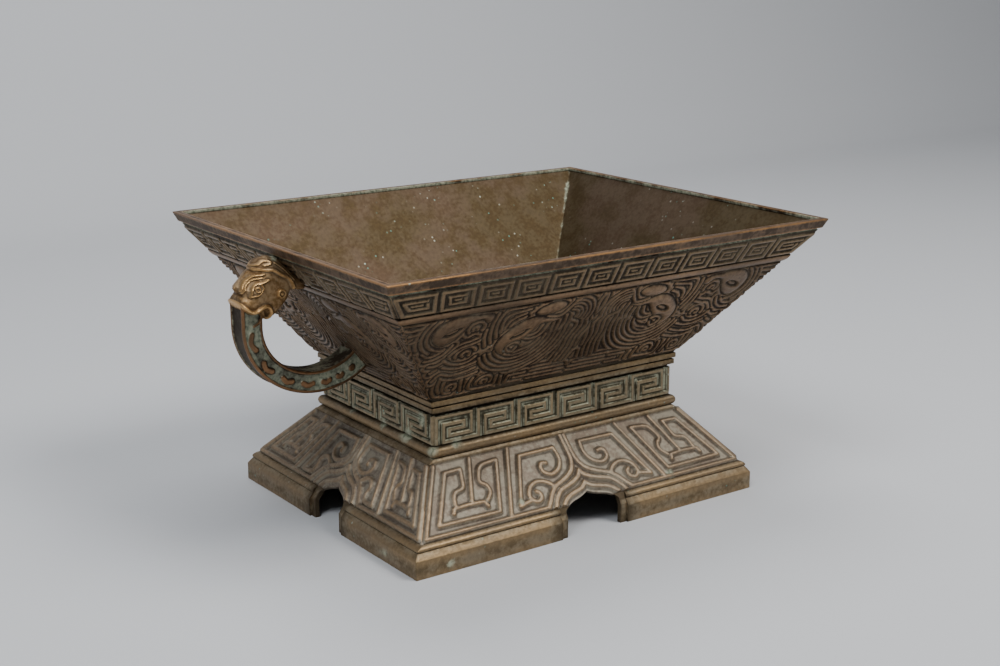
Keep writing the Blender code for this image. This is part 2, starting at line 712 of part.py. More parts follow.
def open_foot(vessel):
    """Cut the four openings, and sink the strip of the foot on each side of them."""
    deep = (FOOT_WIDTH / 2, FOOT_LENGTH / 2)
    for axis, span in enumerate((LONG_NOTCH, SHORT_NOTCH)):
        reach = deep[axis] + CUT_BEYOND
        points, faces = prism(notch_outline(span / 2, CUT_BEYOND), -reach, reach)
        name = ("front_to_back", "end_to_end")[axis]
        opening = helper(f"opening_{name}", turned(points) if axis else points, faces)
        combine(vessel, opening, "DIFFERENCE")

        low = FOOT_LOW[1 - axis]
        half = span / 2 + NOTCH_REBATE
        section = [
            (reach, -CUT_BEYOND),
            (deep[axis] - REBATE_DEPTH, -CUT_BEYOND),
            (deep[axis] - REBATE_DEPTH, BASE_BAND + GROOVE_DEPTH),
            (low - CARVING_MARGIN, Z_FOOT + CARVING_MARGIN),
            (reach, Z_FOOT + CARVING_MARGIN),
        ]
        shapes = []
        for side in (-1, 1):
            points, faces = prism([(side * y, z) for y, z in section], -half, half)
            shapes.append((points if axis else turned(points), faces))
        combine(vessel, helper(f"rebate_{name}", *joined(shapes)), "DIFFERENCE")


# Handles
def wall_out(height):
    """How far the bowl's end wall stands out from the middle at a height."""
    return on_bowl(height)[0]


def loop_point(degrees, beyond=0.0):
    """A point on the loop's middle line, or beyond it, out from the vessel's middle and up."""
    turn = math.radians(degrees)
    out = wall_out(LOOP_HEIGHT) + LOOP_OUT + (LOOP_REACH + beyond) * math.cos(turn)
    return np.array([out, LOOP_HEIGHT - (LOOP_DROP + beyond) * math.sin(turn)])


def loop_stations():
    """Points along the handle from the beast's mouth round to the wall, and the way out at each."""
    mouth = loop_point(0) + np.array([0, LOOP_RISE])
    line = np.array([mouth, *[loop_point(turn) for turn in np.linspace(0, LOOP_TURN, 10)]])
    run = np.gradient(line, axis=0)
    run /= np.linalg.norm(run, axis=1)[:, None]
    return line, np.stack([-run[:, 1], run[:, 0]], axis=1)


def loop_section(thickness):
    """The band's section, out and across: sunk outside and on both flanks, plain inside."""
    half, wide = thickness / 2, HANDLE_WIDTH / 2
    rim, sunk = HANDLE_BORDER, HANDLE_RECESS
    right = [
        (half, wide - rim), (half, wide), (half - rim, wide), (half - rim, wide - sunk),
        (rim - half, wide - sunk), (rim - half, wide), (-half, wide),
    ]
    floor = (half - sunk, wide - rim)
    section = [floor, *right]
    return section + [(out, -across) for out, across in reversed(section)]


def handle_band(side):
    """Points and faces of the band, swept along the loop."""
    line, out_way = loop_stations()
    share = np.linspace(0, 1, len(line))
    thickness = HANDLE_THICKNESS + MOUTH_SWELL * (1 - share) ** 3 + ROOT_SWELL * share**3
    points = []
    for place, outward, thick in zip(line, out_way, thickness):
        for out, across in loop_section(thick):
            x, z = place + outward * out
            points.append((side * x, across, z))
    count = len(points) // len(line)
    faces = [tuple(range(count)), tuple(range(len(points) - count, len(points)))]
    for station in range(len(line) - 1):
        for i in range(count):
            near, far = station * count + i, station * count + (i + 1) % count
            faces.append((near, far, far + count, near + count))
    return points, faces


def on_head(side, out, up, across):
    """A point of the head, given as shares of its size from the wall at the head's height."""
    return (side * (wall_out(HEAD_HEIGHT) + HEAD_SIZE * out), across, HEAD_HEIGHT + HEAD_SIZE * up)


def head_half_width(flat):
    """Half the head's width at points of its side: full at the cheek, less at its top and snout."""
    start, end = np.array(ROUND_FROM), np.array(ROUND_TO)
    share = np.maximum((flat - start) / (end - start), 0)
    reach = np.minimum((share**2).sum(axis=1), 1)
    return HEAD_WIDTH / 2 * np.sqrt(1 - ROUNDING * reach**2.2)


def head_solid(side):
    """The head with its hood, brow, eye, ear and lip, the same on both flanks."""
    eye = [ellipse(EYE_PLACE, *(scale * size for size in EYE_SIZE), EYE_TILT, 8) for scale in (1, 0.8)]
    pupil = ellipse(EYE_PLACE, PUPIL, PUPIL, 0, 6)
    ear = [ellipse(EAR_PLACE, scale * EAR_SIZE, scale * EAR_SIZE, 0, 8) for scale in (1, 0.8)]
    contours = [
        (eye[0], 0.0, True),
        (eye[1], HEAD_RELIEF, True),
        (pupil, HEAD_RELIEF, True),
        (np.array([EYE_PLACE]), 2 * HEAD_RELIEF, False),
        (ear[0], 0.0, True),
        (ear[1], HEAD_RELIEF, True),
        (arc(ROUND_FROM, 0.47, 0, 90, 4), 0.0, False),
    ]
    lines = (HOOD_LINE, LIP_LINE, BROW_LINE)
    ridges = [(np.array(line), HEAD_RIDGE, HEAD_RELIEF) for line in lines]
    flat, heights, triangles = relief(np.array(HEAD_OUTLINE)[::-1], ridges, contours)
    across = head_half_width(flat) + HEAD_SIZE * heights
    points = [on_head(side, *place, far) for place, far in zip(flat, across)]
    points += [on_head(side, *place, -far) for place, far in zip(flat, across)]
    count = len(flat)
    runs = {(one[i], one[i - 2]) for one in triangles for i in range(3)}
    walls = [(a, b, b + count, a + count) for a, b in runs if (b, a) not in runs]
    others = [tuple(count + i for i in one) for one in triangles]
    return points, [*map(tuple, triangles), *others, *walls]


def handle_dashes(side):
    """Curved bars in the sunk flanks of the band."""
    shapes = []
    reach = HANDLE_WIDTH / 2 - HANDLE_RECESS + DASH_HEIGHT
    for start, end in DASHES:
        line = [loop_point(turn, DASH_OUT) * (side, 1) for turn in np.linspace(start, end, 3)]
        outline = ribbon(np.array(line), DASH_WIDTH / 2)
        shapes.append(prism([tuple(point) for point in outline], -reach, reach))
    return shapes


def wall_cutter(side):
    """All that the handle keeps clear of: the end wall, its carving and a gap."""
    seat = []
    carved_below = 0.0
    for (half_length, _, height), pattern in outer_levels():
        carving = {scrolls: SCROLL_HEIGHT, rim_fret: RIM_FRET_HEIGHT}.get(pattern, 0.0)
        if height > Z_LOWER_FILLET:
            clear = SEAT_GAP + LEANING_CARVING * max(carving, carved_below)
            seat.append((side * (half_length + clear), height))
        carved_below = carving
    top = seat[-1]
    seat.append((top[0], top[1] + CUT_BEYOND))
    inside = side * WAIST_LENGTH / 4
    outline = [(inside, seat[0][1]), *seat, (inside, seat[-1][1])]
    return prism(outline, -HANDLE_WIDTH, HANDLE_WIDTH)


def handle(name, side, finish):
    """One handle: a band out of a beast's mouth, cut to the wall that it is set against."""
    made = solid(name, *handle_band(side), finish)
    nose = [on_head(side, out, up, 0) for out, up in NOSE_OUTLINE]
    nose = prism([(x, z) for x, _, z in nose], -NOSE_WIDTH / 2, NOSE_WIDTH / 2)
    shapes = {"dashes": joined(handle_dashes(side)), "head": head_solid(side), "nose": nose}
    for part, shape in shapes.items():
        combine(made, helper(f"{name}_{part}", *shape), "UNION")
    combine(made, helper(f"{name}_wall", *wall_cutter(side)), "DIFFERENCE")
    return made


cast_bronze = material("cast_bronze", (0.105, 0.066, 0.038), 0.48, 0.85)
handle_bronze = material("handle_bronze", (0.190, 0.112, 0.048), 0.40, 0.90)

fu = solid("vessel", *vessel_shell(), cast_bronze)
open_foot(fu)
handle("handle_left", -1, handle_bronze)
handle("handle_right", 1, handle_bronze)
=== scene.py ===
# %% [markdown]
# # A bronze fu
#
# A fu is an oblong bronze vessel for grain. This one has a bowl with four sloping walls, a narrow
# waist and a flared foot with an arched opening in the middle of each side. A beast's head bites a
# loop at each end. The solids from the CAD model carry the same carving in few faces, so here each
# band of carving is made again as a fine height field, and the plain mouldings between the bands as
# profiles carried round an oblong path.

# %% Load the frame
import json
import math

import bpy
import numpy as np
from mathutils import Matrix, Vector

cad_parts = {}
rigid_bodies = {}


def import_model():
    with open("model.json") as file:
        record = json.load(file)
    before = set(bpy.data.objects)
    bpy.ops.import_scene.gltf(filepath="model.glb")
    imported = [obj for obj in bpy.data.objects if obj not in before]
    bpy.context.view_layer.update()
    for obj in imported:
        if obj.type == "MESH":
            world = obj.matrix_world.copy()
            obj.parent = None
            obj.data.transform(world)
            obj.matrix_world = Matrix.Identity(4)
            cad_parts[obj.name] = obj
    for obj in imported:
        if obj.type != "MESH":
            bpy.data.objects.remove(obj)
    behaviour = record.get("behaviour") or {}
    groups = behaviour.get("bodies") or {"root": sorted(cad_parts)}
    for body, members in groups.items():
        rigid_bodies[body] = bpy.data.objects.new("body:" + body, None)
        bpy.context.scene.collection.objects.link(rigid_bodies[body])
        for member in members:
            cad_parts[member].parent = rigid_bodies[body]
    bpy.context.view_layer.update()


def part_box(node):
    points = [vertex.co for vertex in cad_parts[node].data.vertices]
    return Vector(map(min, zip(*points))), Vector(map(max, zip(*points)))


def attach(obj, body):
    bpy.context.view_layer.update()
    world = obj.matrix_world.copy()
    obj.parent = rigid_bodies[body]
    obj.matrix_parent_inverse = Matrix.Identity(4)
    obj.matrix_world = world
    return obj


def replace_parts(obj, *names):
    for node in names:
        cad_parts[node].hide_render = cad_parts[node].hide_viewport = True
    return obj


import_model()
LOW, HIGH = (np.array(corner, float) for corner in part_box("vessel"))
print("vessel measures", np.round((HIGH - LOW) * 1000, 1), "mm")

# %% [markdown]
# ## Sizes
#
# The rim's length and width and the whole height come from the frame. The levels between are set
# down in metres, from the ground up. A level is half a length, half a width and a height, so a
# sloping wall is simply two levels.

# %% Levels of the vessel
RIM = (HIGH - LOW)[:2] / 2
HEIGHT = HIGH[2]
WAIST = np.array([0.0856, 0.0609])
FOOT = np.array([0.1202, 0.0966])

Z_BAND, Z_BEVEL, Z_FOOT, Z_FOOT_TOP = 0.0102, 0.0139, 0.0175, 0.0474
Z_TORUS, Z_TORUS_TOP, Z_WAIST, Z_WAIST_TOP = 0.0506, 0.0564, 0.0571, 0.0741
Z_LOWER, Z_LOWER_TOP, Z_UPPER, Z_UPPER_TOP = 0.0761, 0.0789, 0.0801, 0.0828
Z_BOWL, Z_BORDER, Z_FRET, Z_GROOVE, Z_RIM = 0.0848, 0.1406, 0.1449, 0.1596, 0.1610


def level(half_sizes, height, proud=0.0):
    """Half a level's length and width, moved out by proud, and its height."""
    return np.array([half_sizes[0] + proud, half_sizes[1] + proud, height])


FOOT_LOW = level(FOOT - (0.0060, 0.0044), Z_FOOT)
FOOT_HIGH = level(WAIST + (0.0039, 0.0015), Z_FOOT_TOP)
BOWL_LOW = level(WAIST + (0.0031, 0.0015), Z_BOWL)
BOWL_HIGH = level(RIM, Z_GROOVE, -0.0042)


def up_bowl(height):
    """The share of the way up the bowl's wall that a height is."""
    return (height - Z_BOWL) / (Z_GROOVE - Z_BOWL)


def on_bowl(height, proud=0.0):
    """The level of the bowl's plain wall at a height: a straight line from its foot to its rim."""
    return BOWL_LOW + (BOWL_HIGH - BOWL_LOW) * up_bowl(height) + (proud, proud, 0)


print("bowl runs from", BOWL_LOW * 1000, "to", BOWL_HIGH * 1000)

# %% [markdown]
# ## A small language for materials
#
# Old bronze is brown where hands have rubbed it, darker in its grooves, and green where it has
# lain damp. Each finish is a sum of such masks, so it helps to write shader maths as plain
# expressions. The class below wraps one output socket. Adding or multiplying two of them adds a
# Math node, and every other node comes from its one method.


# %% Shader expressions
class Wire:
    """One output socket of a material's node tree."""

    def __init__(self, tree, socket):
        self.tree = tree
        self.socket = socket

    def node(self, kind, settings, inputs, output=0):
        """A new node: its settings first, then a value or a link for each socket named."""
        made = self.tree.nodes.new(kind)
        for name, value in settings.items():
            setattr(made, name, value)
        for name, value in inputs.items():
            if isinstance(value, Wire):
                self.tree.links.new(value.socket, made.inputs[name])
            else:
                made.inputs[name].default_value = value
        return Wire(self.tree, made.outputs[output])

    def maths(self, operation, first, second):
        """One Math node, with a value or a link for each of its two inputs."""
        return self.node("ShaderNodeMath", {"operation": operation}, {0: first, 1: second})

    def __add__(self, other):
        return self.maths("ADD", self, other)

    def __radd__(self, other):
        return self.maths("ADD", other, self)

    def __sub__(self, other):
        return self.maths("SUBTRACT", self, other)

    def __rsub__(self, other):
        return self.maths("SUBTRACT", other, self)

    def __mul__(self, other):
        return self.maths("MULTIPLY", self, other)

    def __rmul__(self, other):
        return self.maths("MULTIPLY", other, self)

    def between(self, low, high):
        """A mask that rises smoothly from 0 at low to 1 at high."""
        settings = {"interpolation_type": "SMOOTHSTEP", "clamp": True}
        return self.node(
            "ShaderNodeMapRange", settings, {"Value": self, "From Min": low, "From Max": high}
        )

    def over(self, below, above):
        """One colour where this mask is 0 and another where it is 1."""
        return self.node(
            "ShaderNodeMix", {"data_type": "RGBA"}, {"Factor": self, 6: below, 7: above}, 2
        )


def colour(red, green, blue):
    """A colour given as it looks on a screen, 0 to 255, as the linear light that shaders use."""
    share = np.array([red, green, blue]) / 255
    linear = np.where(share <= 0.04045, share / 12.92, ((share + 0.055) / 1.055) ** 2.4)
    return (*linear.tolist(), 1.0)


# %% [markdown]
# ## The bronze
#
# All the finishes share one recipe. The attribute called crest is 1 on the top of a ridge or an
# edge that hands rub and 0 in a groove, and the one called damp is 1 where water has lain. Noise in
# Object coordinates breaks up their borders. Rubbed metal shows on the crests, painted shade
# darkens the grooves, a pale crust clings to the flanks of the ridges, and verdigris grows in the
# damp places. Only the colours and amounts differ from place to place.


# %% The recipe for old bronze
# The colour towards which painted shade in the grooves, and some random grime, darken the metal
PAINTED_SHADE_AND_GRIME = colour(30, 23, 17)
VERDIGRIS = colour(100, 110, 92), colour(168, 172, 148)
SPOTS = colour(104, 160, 146), colour(196, 194, 178)


def bronze(name, colours, chalk, damp, specks, polish, grain):
    """Old bronze from four colours, with amounts of crust, verdigris, specks, polish and grain."""
    ground, crest, mottle, crust = (colour(*one) for one in colours)
    made = bpy.data.materials.new(name)
    made.use_nodes = True
    tree = made.node_tree
    shader = tree.nodes["Principled BSDF"].inputs
    place = Wire(tree, tree.nodes.new("ShaderNodeTexCoord").outputs["Object"])

    def noise(scale, detail=4.0, roughness=0.55):
        inputs = {"Vector": place, "Scale": scale, "Detail": detail, "Roughness": roughness}
        return place.node("ShaderNodeTexNoise", {}, inputs)

    high = place.node("ShaderNodeAttribute", {"attribute_name": "crest"}, {}, "Fac")
    wet = place.node("ShaderNodeAttribute", {"attribute_name": "damp"}, {}, "Fac")
    slow, patches, fine, dust = noise(16), noise(85, 5.0), noise(460, 3.0), noise(1600, 2.0)

    worn = (high + (patches - 0.5) * 0.8 + (fine - 0.5) * 0.5).between(0.28, 0.98)
    base = worn.over(ground, crest)
    blotch = (slow + (patches - 0.5) * 0.4).between(0.40, 0.62) * 0.6
    base = blotch.over(base, mottle)
    # Painted shade: a low crest value, in a groove or at the foot of a ridge, darkens the colour;
    # fine noise adds random grime
    shade = fine.between(0.20, 0.75) * 0.22 + high.between(0.0, 0.40) * 0.33 + 0.45
    base = shade.over(PAINTED_SHADE_AND_GRIME, base)

    flank = high.between(0.05, 0.30) * (1 - high.between(0.55, 0.92))
    crusted = flank * (patches + (fine - 0.5) * 0.6).between(0.36, 0.62) * chalk
    base = crusted.over(base, crust)

    amount = wet * 0.72 + 0.24 * damp + (1 - high.between(0.1, 0.7)) * 0.08
    green = (amount + (patches - 0.5) * 1.1 + (slow - 0.5) * 0.7).between(0.40, 0.72)
    base = (green * 0.8).over(base, fine.between(0.30, 0.62).over(*VERDIGRIS))
    cells = place.node(
        "ShaderNodeTexVoronoi", {"feature": "F1"}, {"Vector": place, "Scale": 230.0}, "Distance"
    )
    spots = (1 - cells.between(0.10, 0.20)) * noise(38, 2.0).between(0.62 - 0.14 * specks, 0.74)
    base = (spots * 0.85).over(base, patches.between(0.45, 0.55).over(*SPOTS))

    dull = green.between(0.0, 0.6)
    rough = 0.60 - worn * (0.28 * polish) + (patches - 0.5) * 0.18 + dull * 0.16
    height = fine * 0.6 + dust * 0.4 + spots * 0.5 + green * 0.4
    settings = {"Strength": grain, "Distance": 0.0004, "Height": height}
    bump = place.node("ShaderNodeBump", {}, settings)
    metal = 0.80 - dull * 0.65 - crusted * 0.4
    looks = {"Base Color": base, "Roughness": rough, "Metallic": metal, "Normal": bump}
    for name, wire in looks.items():
        tree.links.new(wire.socket, shader[name])
    return made


# %% [markdown]
# Ten finishes cover the whole vessel. The bowl's walls are the darkest brown, the foot is paler,
# worn and dusty, the waist keeps a pale crust, and the beasts' heads are rubbed until they shine.
# A picture painted for each part would look much the same. A recipe was chosen because its ten
# sets of colours can be read and changed, and because it leaves no seam at a corner.

# %% The finishes
# Ground, crest, mottle and crust, then how much crust, verdigris, specks, polish and grain
FINISHES = {
    "scroll": (
        [(50, 40, 31), (138, 110, 82), (78, 64, 50), (124, 118, 98)],
        0.2, 0.1, 0.1, 0.7, 0.4,
    ),
    "rim": (
        [(72, 58, 45), (164, 122, 78), (90, 73, 58), (132, 114, 96)],
        0.2, 0.1, 0.1, 0.8, 0.3,
    ),
    "rim_fret": (
        [(62, 53, 40), (134, 112, 84), (96, 82, 64), (124, 118, 98)],
        0.3, 0.15, 0.1, 0.8, 0.4,
    ),
    "waist": (
        [(90, 86, 68), (150, 132, 102), (124, 114, 94), (176, 178, 154)],
        0.9, 0.3, 0.2, 0.7, 0.4,
    ),
    "moulding": (
        [(76, 66, 50), (136, 114, 82), (108, 94, 74), (144, 138, 118)],
        0.4, 0.25, 0.2, 0.6, 0.4,
    ),
    "foot": (
        [(136, 124, 110), (160, 134, 102), (124, 110, 94), (172, 170, 154)],
        0.35, 0.25, 0.3, 0.4, 0.9,
    ),
    "base": (
        [(114, 98, 74), (150, 126, 92), (124, 108, 86), (150, 142, 122)],
        0.3, 0.2, 0.9, 0.6, 0.6,
    ),
    "lining": (
        [(74, 59, 36), (80, 65, 39), (92, 72, 58), (150, 148, 130)],
        0.05, 0.0, 0.75, 0.3, 0.25,
    ),
    "band": (
        [(62, 50, 38), (130, 96, 66), (84, 70, 54), (160, 162, 138)],
        0.6, 0.1, 0.1, 0.8, 0.4,
    ),
    "head": (
        [(104, 76, 44), (206, 164, 108), (142, 112, 76), (160, 148, 124)],
        0.3, 0.1, 0.1, 0.9, 0.4,
    ),
}
bronzes = {place: bronze(f"{place}_bronze", *recipe) for place, recipe in FINISHES.items()}
print("finishes:", [one.name for one in bronzes.values()])

# %% [markdown]
# ## Verdigris
#
# Bronze goes green where water stays longest: under a moulding, at a corner or low on the foot.
# Such places could be painted on by hand. Here they are a list of soft round patches, each with a
# place and a size in metres, because a list is easy to follow and works for every piece alike.


# %% Where water has lain
# Place and size, in metres
DAMP_PLACES = (
    (-0.0870, -0.0620, 0.0565, 0.0075), (-0.0870, -0.0350, 0.0568, 0.0060),
    (-0.0870, -0.0100, 0.0568, 0.0050), (-0.0870, 0.0250, 0.0568, 0.0060),
    (-0.0700, -0.0620, 0.0560, 0.0050), (-0.1200, -0.0620, 0.0060, 0.0045),
    (-0.0300, -0.0980, 0.0120, 0.0040), (-0.1000, -0.0960, 0.0040, 0.0045),
    (0.0600, -0.0900, 0.0180, 0.0045), (-0.0860, -0.0500, 0.0700, 0.0060),
    (0.0870, 0.0620, 0.0565, 0.0080), (0.0870, -0.0200, 0.0568, 0.0060),
    (0.0300, 0.0620, 0.0568, 0.0060), (-0.0450, -0.0870, 0.0250, 0.0040),
    (0.0200, -0.0950, 0.0080, 0.0065),
)


def damp_at(points):
    """How damp each point is: one soft round patch for each place, as exp(-(distance / size)^2)."""
    wet = np.zeros(len(points))
    for x, y, z, size in DAMP_PLACES:
        square = ((points - (x, y, z)) ** 2).sum(axis=1) / size**2
        wet = np.maximum(wet, np.exp(-square))
    return wet


print("damp places:", len(DAMP_PLACES))

# %% [markdown]
# ## From arrays to a mesh
#
# Each piece is worked out as an array of points and an array of four-cornered faces. It could be
# modelled with extrusions and modifiers, but carving this fine would need thousands of them. A
# closed piece has a volume whose sign says whether its faces look outwards, so the helper below
# measures that and turns the faces round if they look in.


# %% Faces that look outwards
def facing_out(points, quads, caps):
    """The faces turned outwards, and the volume: a sixth of the sum of corner triple products."""
    tip = points[quads[:, 0]]
    arms = [points[quads[:, i]] - tip for i in (1, 2, 3)]
    volume = (tip * (np.cross(arms[0], arms[1]) + np.cross(arms[1], arms[2]))).sum() / 6
    for cap in caps:
        fan = points[cap] - points[cap[0]]
        volume += (points[cap[0]] * np.cross(fan[1:-1], fan[2:]).sum(axis=0)).sum() / 6
    if volume < 0:
        quads, caps = quads[:, ::-1], [cap[::-1] for cap in caps]
    return quads, caps, abs(volume)


# %% [markdown]
# The points, the faces and the two values for the finish go into the mesh as whole arrays, which
# is much faster than adding faces one by one. Every piece is smooth, but stays crisp where two
# faces meet at a sharp angle, as a filed edge does.


# %% A piece from arrays
SHARP_ANGLE = 55


def added(name, data):
    """A new object in the scene."""
    made = bpy.data.objects.new(name, data)
    bpy.context.scene.collection.objects.link(made)
    return made


def piece(name, points, quads, caps, finish, crest, damp=None):
    """An object from points, quads and a few many-cornered caps, closed and facing outwards."""
    quads, caps, volume = facing_out(points, quads, caps)
    corners = np.concatenate([quads.ravel(), *caps])
    lengths = np.concatenate([np.full(len(quads), 4), [len(cap) for cap in caps]]).astype(int)
    mesh = bpy.data.meshes.new(name)
    mesh.vertices.add(len(points))
    mesh.vertices.foreach_set("co", points.astype(np.float32).ravel())
    mesh.loops.add(len(corners))
    mesh.loops.foreach_set("vertex_index", corners.astype(np.int32))
    mesh.polygons.add(len(lengths))
    mesh.polygons.foreach_set("loop_start", (np.cumsum(lengths) - lengths).astype(np.int32))
    mesh.update(calc_edges=True)
    mesh.validate()
    mesh.polygons.foreach_set("use_smooth", np.ones(len(mesh.polygons), bool))
    mesh.set_sharp_from_angle(angle=math.radians(SHARP_ANGLE))
    wet = damp_at(points) if damp is None else np.maximum(damp, damp_at(points))
    for label, values in (("crest", np.clip(crest, 0, 1)), ("damp", np.clip(wet, 0, 1))):
        mesh.attributes.new(label, "FLOAT", "POINT").data.foreach_set("value", values.ravel())
    mesh.materials.append(finish)
    made = added(name, mesh)
    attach(made, "root")
    print(f"{name}: {len(points)} points, {volume * 1e6:.1f} cm3")
    return made


# %% [markdown]
# Every piece here is a grid of points in rows and columns, as a woven sheet is. The faces follow
# from the counts alone, so one helper serves them all, and a tube only needs its two ends closed.


# %% The faces of a grid
def sheet_of_quads(rows, columns, wrap_rows=False, wrap_columns=False):
    """The faces of a grid of points counted row by row, joined end to end where it wraps."""
    down = np.arange(rows if wrap_rows else rows - 1)[:, None]
    along = np.arange(columns if wrap_columns else columns - 1)[None, :]
    below, beside = (down + 1) % rows, (along + 1) % columns
    corners = [down * columns + along, down * columns + beside]
    corners += [below * columns + beside, below * columns + along]
    return np.stack(np.broadcast_arrays(*corners), axis=-1).reshape(-1, 4)


def end_caps(rows, columns):
    """One face over the first row of a tube and one over its last."""
    first = np.arange(columns)
    return [first[::-1], first + (rows - 1) * columns]


# %% [markdown]
# ## Plain mouldings
#
# A moulding is a profile carried round an oblong path with slightly rounded corners. A curve with
# a bevel object does this too, but it can't give each row of the profile its own crest value. The
# path is four numbers for each of its points: which corner it belongs to, from -1 to 1 both ways,
# and the way out there. A row of the profile is a half length, a half width, a height and a crest
# value, so the whole ring is one outer product.


# %% The oblong path
PER_SIDE, PER_CORNER = 28, 5


def oblong_path():
    """Along a side the way out stays still and points crowd to the ends; at a corner it turns."""
    parts = []
    for side in range(4):
        turn = math.radians(90 * side)
        across = np.sin(np.linspace(-math.pi / 2, math.pi / 2, PER_SIDE))
        ones = np.ones(PER_SIDE)
        along = np.stack([across, -ones, 0 * ones, -ones])
        angle = np.radians(np.linspace(-90, 0, PER_CORNER + 2)[1:-1])
        bend = np.stack([0 * angle + 1, 0 * angle - 1, np.cos(angle), np.sin(angle)])
        run = np.concatenate([along, bend], axis=1)
        cosine, sine = round(math.cos(turn)), round(math.sin(turn))
        spin = np.array([[cosine, -sine], [sine, cosine]])
        parts.append(np.concatenate([spin @ run[:2], spin @ run[2:]]))
    return np.concatenate(parts, axis=1)


PATH = oblong_path()
print("each ring has", PATH.shape[1], "points")

# %% [markdown]
# Nothing that was cast and filed by hand is quite sharp or quite true. A Bevel modifier could ease
# the corners of a moulding, but it would blur the crest values. Here the profile itself is eased
# before it is carried round, and the ring then strays from true by about a tenth of a millimetre.


# %% Rings and cups
CORNER = 0.0009
WAVE = 0.00006


def eased(rows, reach, closed):
    """A profile with each corner cut by a curve that starts and ends a short reach away from it."""
    rows = np.array(rows, float)
    before, after = np.roll(rows, 1, axis=0) - rows, np.roll(rows, -1, axis=0) - rows

    def pulled(arm):
        length = np.linalg.norm(arm[:, :3], axis=1)[:, None]
        return rows + arm * np.minimum(reach / np.maximum(length, 1e-9), 0.45)

    start, end = pulled(before), pulled(after)
    shares = np.array([0.0, 0.33, 0.67, 1.0])[None, :, None]
    curve = (1 - shares) ** 2 * start[:, None] + 2 * shares * (1 - shares) * rows[:, None]
    curve = curve + shares**2 * end[:, None]
    if closed:
        return curve.reshape(-1, rows.shape[1])
    middle = curve[1:-1].reshape(-1, rows.shape[1])
    return np.concatenate([rows[:1], middle, rows[-1:]])


def unevenness(points):
    """How far a hand-finished surface strays from true: the sum of three slow waves."""
    x, y, z = points[..., 0], points[..., 1], points[..., 2]
    waves = np.sin(61 * x + 23 * z) + np.sin(83 * y - 31 * z + 1.0) + np.sin(47 * (x - y) + 190 * z)
    return WAVE * waves


def ring(name, rows, finish, closed=True, reach=0.0005, wet_at=None):
    """A profile of (half length, half width, height, crest) carried round the oblong path."""
    rows = eased(rows, reach, closed)
    radius = np.minimum(CORNER, rows[:, :2].min(axis=1) * 0.9)[:, None]
    x = (rows[:, 0:1] - radius) * PATH[0] + radius * PATH[2]
    y = (rows[:, 1:2] - radius) * PATH[1] + radius * PATH[3]
    z = np.broadcast_to(rows[:, 2:3], x.shape)
    points = np.stack([x, y, z], axis=-1)
    drift = unevenness(points)
    points = points + np.stack([drift * PATH[2], drift * PATH[3], 0 * drift], axis=-1)
    # Rows with a low crest value, in grooves and recesses, come out darker: painted shade in the
    # finish
    crest = np.broadcast_to(rows[:, 3:4], x.shape)
    count = x.shape[1]
    quads = sheet_of_quads(len(rows), count, closed, True)
    caps = [] if closed else end_caps(len(rows), count)
    points = points.reshape(-1, 3)
    damp = wet_at(points) if wet_at else None
    return piece(name, points, quads, caps, finish, crest.ravel(), damp)


# %% [markdown]
# The vessel's mouldings are made of flats, steps and half-rounds. Each helper below gives one or
# more rows of a profile, so a moulding can be read from the list of them as from a drawing.


# %% Rows of a profile
def row(half_level, crest=0.5, proud=0.0):
    """One row of a profile, moved out by proud."""
    return (half_level[0] + proud, half_level[1] + proud, half_level[2], crest)


def rows_at(half_sizes, *rows):
    """Rows with one half length and width, each given as height, distance out and crest."""
    return [row(level(half_sizes, height, proud), crest) for height, proud, crest in rows]


def half_round(low, high, proud, crest=1.0, steps=7):
    """Rows of a half-round moulding between two levels."""
    turns = np.linspace(0, math.pi, steps + 2)[1:-1]
    shares = (1 - np.cos(turns)) / 2
    return [
        row(low + (high - low) * share, crest * math.sin(turn), proud * math.sin(turn))
        for share, turn in zip(shares, turns)
    ]


# %% [markdown]
# ## The foot's wall
#
# The foot is a hollow ring. From the ground up, its profile has an upright base band, a bevel, a
# roll, the sloping wall that stands behind the carving, and a torus under the waist. Then it comes
# down again inside. A box could be cut to this shape step by step, but one closed profile keeps all
# the mouldings in one list, in the order that they are seen.

# %% The foot's wall with its base band, roll and torus
BACKING = -0.0010
FOOT_WALL = 0.0042
GROOVE = -0.0010

foot_rows = [
    *rows_at(FOOT, (0.0, 0.0, 0.9), (Z_BAND * 0.5, 0.0, 0.45), (Z_BAND, 0.0, 1.0)),
    *rows_at(FOOT, (Z_BEVEL, -0.0026, 0.5), (Z_BEVEL, -0.0036, 0.0)),
    *half_round(level(FOOT, Z_BEVEL, -0.0036), level(FOOT_LOW, Z_FOOT, GROOVE), 0.0024),
    row(FOOT_LOW, 0.0, GROOVE),
    row(FOOT_LOW, 0.0, 2 * BACKING),
    row(FOOT_HIGH, 0.0, 2 * BACKING),
    row(FOOT_HIGH, 0.1, 0.0),
    *half_round(FOOT_HIGH, level(WAIST, Z_TORUS), 0.0009, 0.7, 3),
    row(level(WAIST, Z_TORUS), 0.0),
    *half_round(level(WAIST, Z_TORUS), level(WAIST, Z_TORUS_TOP), 0.0024),
    *rows_at(WAIST, (Z_TORUS_TOP, 0.0, 0.0), ((Z_TORUS_TOP + Z_WAIST) / 2, -0.0020, 0.0)),
    *rows_at(WAIST, (Z_WAIST, -FOOT_WALL, 0.3)),
    row(FOOT_HIGH, 0.3, -FOOT_WALL),
    row(FOOT_LOW, 0.3, -FOOT_WALL),
    *rows_at(FOOT, (Z_BAND, -FOOT_WALL, 0.3), (0.0, -FOOT_WALL, 0.6)),
]
foot_wall = ring("foot_wall", foot_rows, bronzes["base"])

# %% [markdown]
# ## The waist
#
# The waist is a short upright neck under two square fillets, and the bowl's floor closes it. The
# neck and a plate for the floor could be two pieces. One profile that begins and ends beside the
# middle gives both at once, and there is no seam between them to hide.

